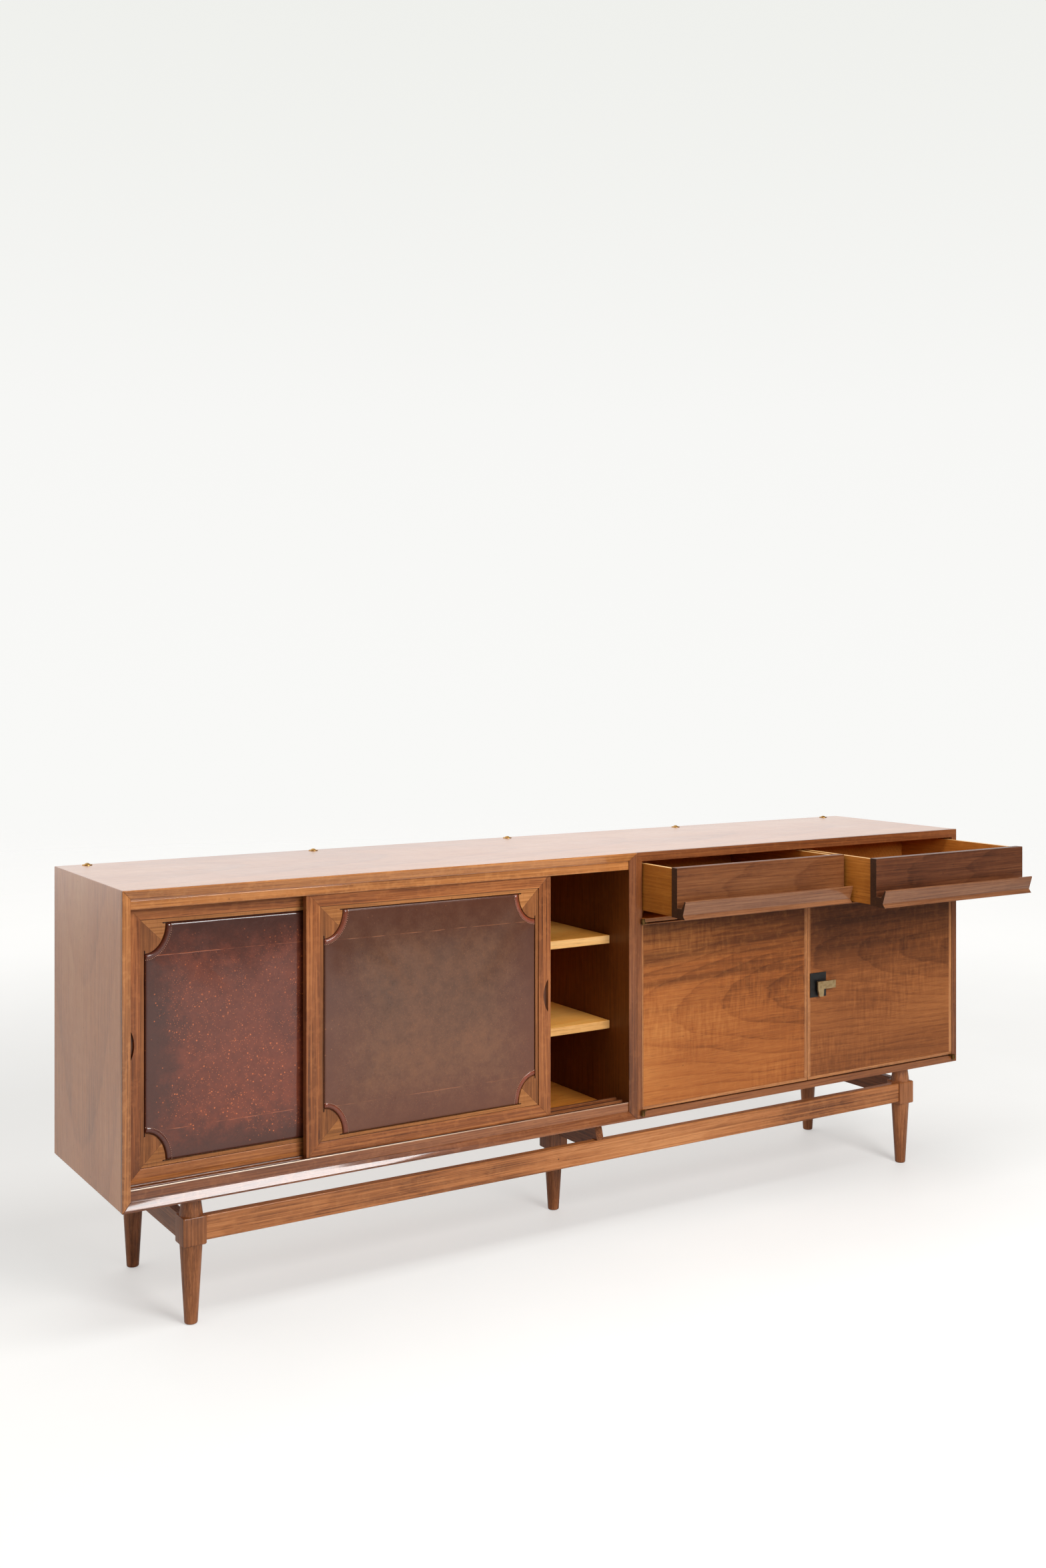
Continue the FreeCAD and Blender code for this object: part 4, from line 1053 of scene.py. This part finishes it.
@dataclass
class BaseFrame:
    """The low stand: turned legs with square blocks, four rails and a cross bar."""

    corner_legs: tuple[str, ...] = ("front_left_leg", "front_right_leg",
                                    "back_left_leg", "back_right_leg")
    block_low: float = 0.168
    block_high: float = 0.229
    block_half: float = 0.026
    centre_low: float = 0.158
    case_floor: float = 0.272
    block_ease: float = 0.0035
    rail_ease: float = 0.0022
    foot_radius: float = 0.014
    shin_radius: float = 0.024
    toe: float = 0.0035

    def taper(self, bottom: float) -> list[tuple[float, float]]:
        """Return the profile of the tapered foot: a straight cone, with its toe rounded.

        Args:
            bottom: the height of the block that the cone runs up to.

        Returns:
            The profile, as pairs of a radius and a height.
        """
        turn = np.linspace(-QUARTER, 0, 7)
        radius = self.foot_radius - self.toe + self.toe * np.cos(turn)
        height = self.toe + self.toe * np.sin(turn)
        return [(0.0, 0.0), *zip(radius.tolist(), height.tolist()),
                (self.shin_radius, bottom + MM), (0.0, bottom + MM)]

    def leg(self, node: str, seed: int) -> None:
        """Build one corner leg: taper, eased block and coned neck, in one piece.

        Args:
            node: the CAD leg that it stands for.
            seed: moves the grain, so that no two legs match.
        """
        low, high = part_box(node)
        x, y = (low.x + high.x) / 2, (low.y + high.y) / 2
        half, top = self.block_half, self.block_high
        block = Shell.eased_block(np.array([x - half, y - half, self.block_low]),
                                  np.array([x + half, y + half, top]), self.block_ease)
        neck = [(0.0, top - 0.002), (0.0244, top - 0.002), (0.0248, top + 0.0008),
                (0.019, self.case_floor), (0.0, self.case_floor)]
        shells = [Shell.turned(self.taper(self.block_low), (x, y)), block, Shell.turned(neck, (x, y))]
        wood = BASE_WOOD.material(Run.UPRIGHT_FRONT, seed, x)
        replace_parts(Shell.joined(shells).piece("turned_" + node, "case", "base_wood", wood), node)

    def centre(self) -> None:
        """Build the centre leg: taper, and a block in two cheeks either side of the cross bar."""
        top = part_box("centre_leg")[1].z
        bar_low, bar_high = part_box("base_cross_bar")
        half, bottom = self.block_half, self.centre_low
        foot, shoulder = np.array([-half, -half, bottom]), np.array([half, half, bar_low.z])
        shells = [Shell.turned(self.taper(bottom), (0.0, 0.0)),
                  Shell.eased_block(foot, shoulder, 0.0025)]
        for near, far in ((bar_high.x, half), (-half, bar_low.x)):
            cheek = (np.array([near, -half, bar_low.z - 0.004]), np.array([far, half, top]))
            shells.append(Shell.eased_block(*cheek, 0.0018))
        wood = BASE_WOOD.material(Run.UPRIGHT_FRONT, 40)
        piece = Shell.joined(shells).piece("turned_centre_leg", "case", "base_wood", wood)
        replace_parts(piece, "centre_leg")

    def build(self) -> None:
        """Build the legs and dress the rails."""
        for seed, node in enumerate(self.corner_legs, start=30):
            self.leg(node, seed)
        self.centre()
        rails = (("base_front_rail", RAIL_WOOD, Run.LENGTH_UPRIGHT, 41, 0.19),
                 ("base_back_rail", RAIL_WOOD, Run.LENGTH_UPRIGHT, 42, 0.2),
                 ("base_side_rails", BASE_WOOD, Run.DEEP_SIDE, 43, 0.2),
                 ("base_cross_bar", BASE_WOOD, Run.DEEP_SIDE, 44, 0.2))
        for node, wood, run, seed, heart in rails:
            ease(dress(node, wood.material(run, seed, heart)), self.rail_ease, 3)


@dataclass
class SlidingDoor:
    """A sliding door: mitred frame, scooped frieze and a leather panel with piped corners."""

    name: str
    leather: Leather
    binding: Tint
    seed: int
    scoop_wide: float = 0.046
    scoop_tall: float = 0.062
    roll: float = 0.0048
    crown: float = 0.0016
    crown_reach: float = 0.030
    wobble: float = 0.00022
    band_wide: float = 0.0105
    band_rise: float = 0.0010
    stitch_pitch: float = 0.0040
    stitch_half: float = 0.0011
    stitch_thick: float = 0.0006
    recess_height: float = 0.6
    recess_half: float = 0.045
    recess_deep: float = 0.0068
    frame_ease: float = 0.0011
    frieze_ease: float = 0.0005
    low: np.ndarray = field(init=False)
    high: np.ndarray = field(init=False)

    def __post_init__(self) -> None:
        """Read where the leather panel lies."""
        low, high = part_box(self.name + "_leather_panel")
        self.low, self.high = np.array(low), np.array(high)

    def corners(self) -> list[Triple]:
        """Return each corner's x and z and the angle at which its scoop starts, going round."""
        return [(self.low[0], self.low[2], QUARTER), (self.high[0], self.low[2], 2 * QUARTER),
                (self.high[0], self.high[2], 3 * QUARTER), (self.low[0], self.high[2], 4 * QUARTER)]

    def scoop_points(self, corner: Sequence, out: np.ndarray | float, angle: np.ndarray) -> np.ndarray:
        """Return points on ellipses round a corner.

        Args:
            corner: the x and z that the ellipses are centred on.
            out: how far each ellipse lies beyond the scoop.
            angle: the place on the ellipse, from +X towards +Z.

        Returns:
            The points, as (..., 2).
        """
        x, z = corner[0], corner[1]
        return np.stack([x + (self.scoop_wide + out) * np.cos(angle),
                         z + (self.scoop_tall + out) * np.sin(angle)], -1)

    def outline(self, arc: int = 25, side: int = 44) -> np.ndarray:
        """Return the leather's edge as (n, 2) points: quarter ellipses joined by straight runs.

        Each scoop runs backwards through a quarter turn about its corner, from the side that the
        path arrives on to the side that it leaves by.

        Args:
            arc: points on a scoop.
            side: steps on a straight run.

        Returns:
            The points, going round.
        """
        x, z, start = np.array(self.corners()).T[:, :, None]
        scoops = self.scoop_points((x, z), 0.0, start - np.linspace(0, QUARTER, arc))
        ends, starts = scoops[:, -1:], np.roll(scoops[:, :1], -1, axis=0)
        share = np.linspace(0, 1, side + 1)[1:-1, None]
        return np.concatenate([scoops, ends + share * (starts - ends)], axis=1).reshape(-1, 2)

    def inset(self, points: np.ndarray, edge: np.ndarray) -> np.ndarray:
        """Return how far each point lies from the nearest stretch of the edge.

        Args:
            points: x and z of each point, as (n, 2).
            edge: the outline, as (m, 2).

        Returns:
            The n distances.
        """
        start, run = edge, np.roll(edge, -1, axis=0) - edge
        gap = points[:, None, :] - start[None]
        share = np.clip((gap * run).sum(-1) / np.maximum((run * run).sum(-1), 1e-12), 0, 1)
        return np.linalg.norm(gap - share[..., None] * run, axis=-1).min(axis=1)

    def surface(self, points: np.ndarray, away: np.ndarray) -> np.ndarray:
        """Return the leather's y at points: a rolled rim, a slight crown and a faint wobble.

        The rim is a quarter circle of radius roll; the crown rises as 1 - exp(-distance / 30 mm);
        the wobble is a sum of three sine waves that dies out towards the rim.

        Args:
            points: x and z of each point, as (n, 2).
            away: how far each point lies from the edge.

        Returns:
            The depth of each point.
        """
        rim = self.roll * (1 - np.sqrt(1 - (1 - np.clip(away / self.roll, 0, 1)) ** 2))
        crown = self.crown * (1 - np.exp(-away / self.crown_reach))
        x, z = points[:, 0] + self.seed, points[:, 1]
        waves = np.sin(19 * x + 11 * z) + np.sin(31 * z - 13 * x + 1.3)
        waves = waves + np.sin(57 * x + 2.1) * np.sin(43 * z)
        return self.low[1] + rim - crown - self.wobble * waves * np.clip(away / 0.02, 0, 1)

    def build_leather(self) -> None:
        """Build the panel: rings that shrink from the scooped edge to the middle, closed behind."""
        edge = self.outline()
        middle = (self.low[[0, 2]] + self.high[[0, 2]]) / 2
        reach = np.linalg.norm(edge - middle, axis=1)
        steps = np.array([0, 0.3, 0.7, 1.2, 1.9, 2.8, 4, 6, 9,
                          13, 19, 27, 38, 55, 80, 110, 145, 180]) * MM
        share = np.maximum(1 - steps[:, None] / reach, 0.02)
        share[-1] = 0
        flat = middle + share[..., None] * (edge - middle)
        away = self.inset(flat.reshape(-1, 2), edge)
        away[:len(edge)] = 0
        depth = self.surface(flat.reshape(-1, 2), away).reshape(len(steps), len(edge))
        front = np.stack([flat[..., 0], depth, flat[..., 1]], axis=-1)
        behind = np.stack([edge[:, 0], np.full(len(edge), self.high[1]), edge[:, 1]], axis=-1)[None]
        pole = np.broadcast_to(np.array([middle[0], self.high[1], middle[1]]), behind.shape)
        shell = Shell.of_rings(np.concatenate([pole, behind, front]))
        lines = (self.high[2] - self.scoop_tall - 0.004, self.low[2] + self.scoop_tall + 0.002)
        hide = self.leather.material(self.low, self.high, lines)
        piece = shell.piece(self.name + "_leather_cover", self.name, "panel_leather", hide, 50)
        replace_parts(piece, self.name + "_leather_panel")

    def build_bands(self) -> None:
        """Build the raised binding along each scoop: a low arched strip laid on the leather.

        The strip's height across its width is the sine of half a turn, raised to the power 0.6.
        """
        edge = self.outline()
        shells = []
        across = np.linspace(0, 1, 9)
        for corner in self.corners():
            angle = corner[2] - np.linspace(0.012, QUARTER - 0.012, 40)
            out = 0.0004 + across * self.band_wide
            flat = self.scoop_points(corner, out[None, :], angle[:, None])
            spots = flat.reshape(-1, 2)
            base = self.surface(spots, self.inset(spots, edge)).reshape(flat.shape[:2])
            arch = self.band_rise * np.sin(math.pi * across) ** 0.6
            upper = np.stack([flat[..., 0], base - arch - 0.0001, flat[..., 1]], -1)
            lower = np.stack([flat[..., 0], base + 0.0006, flat[..., 1]], -1)[:, ::-1]
            rings = np.concatenate([upper, lower], axis=1)
            ends = [np.broadcast_to(rings[i].mean(0), rings[i].shape)[None] for i in (0, -1)]
            shells.append(Shell.of_rings(np.concatenate([ends[0], rings, ends[1]])))
        band = replace(self.leather, name=self.leather.name + "_binding", dark=self.leather.rim,
                       light=self.binding, speckled=0.4)
        name = self.name + "_scoop_bindings"
        Shell.joined(shells).piece(name, self.name, "panel_leather", band.material(), 60)

    def build_stitches(self) -> None:
        """Build a row of small thread stitches just beyond each binding.

        A stitch is a ball stretched along the row: its axes are the row's direction, the way
        across it, and the depth.
        """
        edge = self.outline()
        turn = np.linspace(0, 4 * QUARTER, 8, endpoint=False)
        turn, rise = np.meshgrid(turn, np.linspace(-QUARTER, QUARTER, 6))
        ball = np.stack([np.cos(rise) * np.cos(turn), np.cos(rise) * np.sin(turn), np.sin(rise)], -1)
        out = self.band_wide + 0.0014
        count = int((self.scoop_wide + self.scoop_tall + 2 * out) / 2 * QUARTER / self.stitch_pitch)
        shells = []
        for corner in self.corners():
            angle = corner[2] - (np.arange(count) + 0.5) / count * QUARTER
            spots = self.scoop_points(corner, out, angle)
            depth = self.surface(spots, self.inset(spots, edge))
            along = np.stack([-(self.scoop_wide + out) * np.sin(angle),
                              (self.scoop_tall + out) * np.cos(angle)], -1)
            along /= np.linalg.norm(along, axis=1, keepdims=True)
            across = np.stack([along[:, 1], -along[:, 0]], -1)
            spread = (spots[:, None, None] + self.stitch_half * ball[..., :1] * along[:, None, None]
                      + self.stitch_thick * ball[..., 1:2] * across[:, None, None])
            level = depth[:, None, None] - self.stitch_thick / 2 + self.stitch_thick * ball[..., 2]
            stitches = np.stack([spread[..., 0], level, spread[..., 1]], -1)
            shells += [Shell.of_rings(rings) for rings in stitches]
        material = bpy.data.materials.get(THREAD.name) or THREAD.material()
        name = self.name + "_scoop_stitches"
        Shell.joined(shells).piece(name, self.name, "panel_leather", material, 80)

    def dress_frieze(self) -> None:
        """Dress the frieze: veneer mitred from each corner, paler along the top and the foot, with painted
        shade and grime in the gaps round its edges.
        """
        low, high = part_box(self.name + "_frieze_board")
        material, g, shader = new_material(self.name + "_mitred_frieze")
        side, wood = FRIEZE_SIDE_WOOD.figure(g, Run.UPRIGHT_FRONT, self.seed + 0.2, 0.0)
        rail, _ = FRIEZE_RAIL_WOOD.figure(g, Run.LENGTH_UPRIGHT, self.seed + 0.4, 0.0)
        x, _, z = g.split(g.place())
        to_side = g.within(x, low.x, high.x)
        to_end = g.within(z, low.z, high.z)
        over = g.math("SUBTRACT", to_side, to_end)
        colour = g.blend(g.math("GREATER_THAN", over, 0.0), side, rail)
        joint = g.remap(g.math("ABSOLUTE", over), 0.0002, 0.0009, 0.55, 0.0)
        colour = g.blend(joint, colour, paint(70, 38, 22))
        # Painted shade with grime: dark lines along the board's outer edges and along the leather's
        # straight edges, in the gaps between parts.
        gap_shade_and_grime = g.remap(g.math("MINIMUM", to_side, to_end), 0.0004, 0.0018, 0.8, 0.0)
        rim = (self.low[0] - low.x + 0.0005, self.low[2] - low.z + 0.0005)
        hole = g.math("MAXIMUM", g.math("SUBTRACT", rim[0], to_side),
                      g.math("SUBTRACT", rim[1], to_end))
        outline = g.math("MULTIPLY", g.remap(hole, 0.0006, 0.0030, 0.85, 0.0),
                         g.remap(hole, -0.0012, -0.0004))
        straight = g.math("MAXIMUM", g.math("GREATER_THAN", to_side, rim[0] + self.scoop_wide - 0.008),
                          g.math("GREATER_THAN", to_end, rim[1] + self.scoop_tall - 0.008))
        outline = g.math("MULTIPLY", outline, straight)
        gap_shade_and_grime = g.math("MAXIMUM", gap_shade_and_grime, outline)
        colour = g.blend(gap_shade_and_grime, colour, paint(40, 20, 12))
        FRIEZE_SIDE_WOOD.finish(g, shader, colour, wood, self.seed)
        ease(dress(self.name + "_frieze_board", material), self.frieze_ease)

    def dress_frame(self) -> None:
        """Dress the stiles and rails, and paint shade inside the finger recess with a darker copy of the
        frame wood.
        """
        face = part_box(self.name + "_stiles")[0].y
        level = between(2, self.recess_height - self.recess_half,
                        self.recess_height + self.recess_half)
        sunk = between(1, face + 0.0003, face + self.recess_deep)
        scooped: Rule = lambda normals, centres: (level(normals, centres) & sunk(normals, centres)
                                                  & (abs(normals[:, 0]) < 0.995))
        stiles = dress(self.name + "_stiles", SLIDER_WOOD.material(Run.UPRIGHT_FRONT, self.seed),
                       (scooped, SHADED_RECESS_WOOD.material(Run.UPRIGHT_FRONT, self.seed)))
        ease(stiles, self.frame_ease)
        rails = dress(self.name + "_rails", SLIDER_WOOD.material(Run.LENGTH_UPRIGHT, self.seed + 1))
        ease(rails, self.frame_ease)

    def build(self) -> None:
        """Dress the frame, then add the leather, its bindings and its stitches."""
        self.dress_frame()
        self.dress_frieze()
        self.build_leather()
        self.build_bands()
        self.build_stitches()


@dataclass
class HingedDoor:
    """A veneered door with solid lippings and pivot leaves."""

    name: str
    wood: Timber
    seed: int
    crown: float
    # heart: painted shade towards the door's top for the drawers' shadow, with some darker heartwood.
    heart: Triple
    lipping_foot: float = 0.0081
    lipping_head: float = 0.0031
    veneer_ease: float = 0.0003
    lipping_ease: float = 0.0009

    def build(self) -> None:
        """Dress the veneer by the way it was laid, and each lipping along its own length."""
        veneer = self.wood.material(Run.LENGTH_UPRIGHT, self.seed, self.crown, self.heart)
        ease(dress(self.name + "_panel", veneer), self.veneer_ease)
        low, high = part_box(self.name + "_lippings")
        upright = between(2, low.z + self.lipping_foot, high.z - self.lipping_head)
        lipping = dress(self.name + "_lippings", TRIM_WOOD.material(Run.LENGTH_UPRIGHT, self.seed + 0.5),
                        (upright, TRIM_WOOD.material(Run.UPRIGHT_FRONT, self.seed + 0.6)))
        ease(lipping, self.lipping_ease)
        dress(self.name + "_hinge_leaves", DARK_BRASS.material())


@dataclass
class Latch:
    """The black plate and brass lever on the right-hand door."""

    plate_ease: float = 0.0005
    lever_ease: float = 0.0009

    def build(self) -> None:
        """Dress the plate, lever and spindle."""
        ease(dress("latch_plate", BLACK.material()), self.plate_ease)
        ease(dress("latch_lever", PALE_BRASS.material()), self.lever_ease, 3)
        dress("latch_spindle", BRASS.material())


@dataclass
class Drawer:
    """A drawer: dark veneered front with a lipped pull, and a honey-coloured box."""

    name: str
    wood: Timber
    seed: int
    edge_ease: float = 0.0009

    def build(self) -> None:
        """Dress the front, pull, box and bottom."""
        low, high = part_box(self.name + "_front")
        face = self.wood.material(Run.LENGTH_UPRIGHT, self.seed, (low.z + high.z) / 2)
        end = END_GRAIN.material(Run.LENGTH_UPRIGHT, self.seed)
        inside = BOX_WOOD.material(Run.LENGTH_UPRIGHT, self.seed)
        ends = ((facing(0, -1), end), (facing(0, 1), end))
        front = dress(self.name + "_front", face, *ends, (facing(1, 1), inside))
        pull = dress(self.name + "_pull", PULL_WOOD.material(Run.LENGTH_UPRIGHT, self.seed + 1), *ends)
        rims = (facing(2, 1), SHELF_EDGE_WOOD.material(Run.DEEP_FLAT, self.seed))
        box = dress(self.name + "_box", BOX_WOOD.material(Run.DEEP_SIDE, self.seed + 2), rims)
        for board in (front, pull, box):
            ease(board, self.edge_ease)
        dress(self.name + "_bottom", BOX_WOOD.material(Run.LENGTH_FLAT, self.seed + 3))


@dataclass
class Studio:
    """Pale floor, soft lights and the camera."""

    eye: Triple = (-2.2221, -3.3923, 1.3671)
    yaw: float = -0.5608
    lens: float = 36.5
    shift: float = -0.071
    floor_reach: float = 14.0
    floor_level: float = -0.0004

    def build(self) -> None:
        """Build the stage, the lights, the world and the camera."""
        self.floor()
        self.world()
        self.light("key softbox", (0.3, -4.0, 2.42), (-0.2, 0.0, 0.45), (1.8, 1.7), 155)
        self.light("overhead softbox", (0.0, -1.3, 3.4), (0.0, -0.2, 0.2), (2.6, 1.1), 48)
        self.camera()
        bpy.context.scene.view_settings.view_transform = "Standard"

    def floor(self) -> None:
        """Lay a pale round floor whose rim fades out into the background."""
        angle = np.linspace(0, 4 * QUARTER, 96, endpoint=False)
        points = np.stack([self.floor_reach * np.cos(angle), self.floor_reach * np.sin(angle),
                           np.full(len(angle), self.floor_level)], -1)
        mesh = bpy.data.meshes.new("studio_floor")
        mesh.from_pydata(points.tolist(), [], [list(range(len(angle)))])
        floor = bpy.data.objects.new("studio_floor", mesh)
        bpy.context.scene.collection.objects.link(floor)
        material, g, shader = new_material("floor_paint")
        place = g.place()
        node = g.add("ShaderNodeVectorMath", operation="LENGTH")
        g.feed(node.inputs[0], g.vector("MULTIPLY", place, (1, 1, 0)))
        mottled = g.blend(g.noise(place, 3, 4), paint(194, 194, 192), paint(200, 200, 198))
        g.feed(shader.inputs["Base Color"], mottled)
        shader.inputs["Roughness"].default_value = 0.6
        shader.inputs["Specular IOR Level"].default_value = 0.2
        g.feed(shader.inputs["Alpha"], g.remap(node.outputs["Value"], 4.5, 12.0, 1.0, 0.0))
        shader.inputs["Emission Color"].default_value = (1.0, 1.0, 0.99, 1.0)
        seen = g.add("ShaderNodeLightPath").outputs["Is Camera Ray"]
        glow = g.remap(node.outputs["Value"], 1.6, 5.0, 0.40, 0.62)
        g.feed(shader.inputs["Emission Strength"], g.math("MULTIPLY", seen, glow))
        mesh.materials.append(material)

    def world(self) -> None:
        """Light from a room that is bright behind and dim in front, seen as a pale backdrop."""
        world = bpy.data.worlds.new("white room")
        bpy.context.scene.world = world
        world.use_nodes = True
        world.node_tree.nodes.clear()
        g = Graph(world.node_tree)
        side, back, up = g.split(g.add("ShaderNodeTexCoord").outputs["Generated"])
        seen = g.ramp(g.remap(up, -0.1, 0.5), (0.0, paint(249, 249, 247)), (0.4, paint(247, 247, 245)),
                      (1.0, paint(238, 239, 235)))
        room, shown = g.add("ShaderNodeBackground"), g.add("ShaderNodeBackground")
        bright = g.remap(g.math("MULTIPLY_ADD", side, -0.45, back), -0.3, 0.5)
        g.feed(room.inputs[0], g.blend(bright, (0.10, 0.097, 0.09, 1.0), (1.02, 1.0, 0.98, 1.0)))
        g.feed(shown.inputs[0], seen)
        pick = g.add("ShaderNodeMixShader")
        g.feed(pick.inputs[0], g.add("ShaderNodeLightPath").outputs["Is Camera Ray"])
        g.feed(pick.inputs[1], room.outputs[0])
        g.feed(pick.inputs[2], shown.outputs[0])
        g.feed(g.add("ShaderNodeOutputWorld").inputs[0], pick.outputs[0])

    def light(self, name: str, place: Triple, aim: Triple, size: tuple[float, float],
              power: float) -> None:
        """Add a softbox.

        Args:
            name: the lamp's name.
            place: where it stands.
            aim: the point that it faces.
            size: its width and height, in metres.
            power: its power, in watts.
        """
        lamp = bpy.data.lights.new(name, "AREA")
        lamp.shape = "RECTANGLE"
        lamp.size, lamp.size_y = size
        lamp.energy = power
        item = bpy.data.objects.new(name, lamp)
        bpy.context.scene.collection.objects.link(item)
        item.location = place
        toward = np.array(aim) - np.array(place)
        tip = math.acos(-toward[2] / np.linalg.norm(toward))
        item.rotation_euler = (tip, 0.0, math.atan2(-toward[0], toward[1]))

    def camera(self) -> None:
        """Set the level camera with its lens and vertical shift."""
        lens = bpy.data.cameras.new("camera")
        lens.lens = self.lens
        lens.shift_y = self.shift
        lens.clip_end = 100
        item = bpy.data.objects.new("camera", lens)
        bpy.context.scene.collection.objects.link(item)
        item.location = self.eye
        item.rotation_euler = (QUARTER, 0.0, self.yaw)
        bpy.context.scene.camera = item


def main() -> None:
    """Build every sub-assembly in order."""
    logging.basicConfig(level=logging.INFO, format="%(name)s: %(message)s")
    Studio().build()
    Case().build()
    TopFittings().build()
    BaseFrame().build()
    SlidingDoor("rear_slider", LEFT_LEATHER, (92, 38, 22), 50).build()
    SlidingDoor("front_slider", RIGHT_LEATHER, (138, 62, 36), 54).build()
    # Each door's last triple is painted shade towards its top, for the shadow of the drawers above.
    HingedDoor("left_door", DOOR_WOOD, 60, 0.52, (0.78, 0.50, 0.85)).build()
    HingedDoor("right_door", DARK_DOOR_WOOD, 61, 0.60, (0.84, 0.48, 0.85)).build()
    Latch().build()
    Drawer("left_drawer", DRAWER_WOOD, 70).build()
    Drawer("right_drawer", DARK_DRAWER_WOOD, 76).build()


if __name__ == "__main__":
    main()
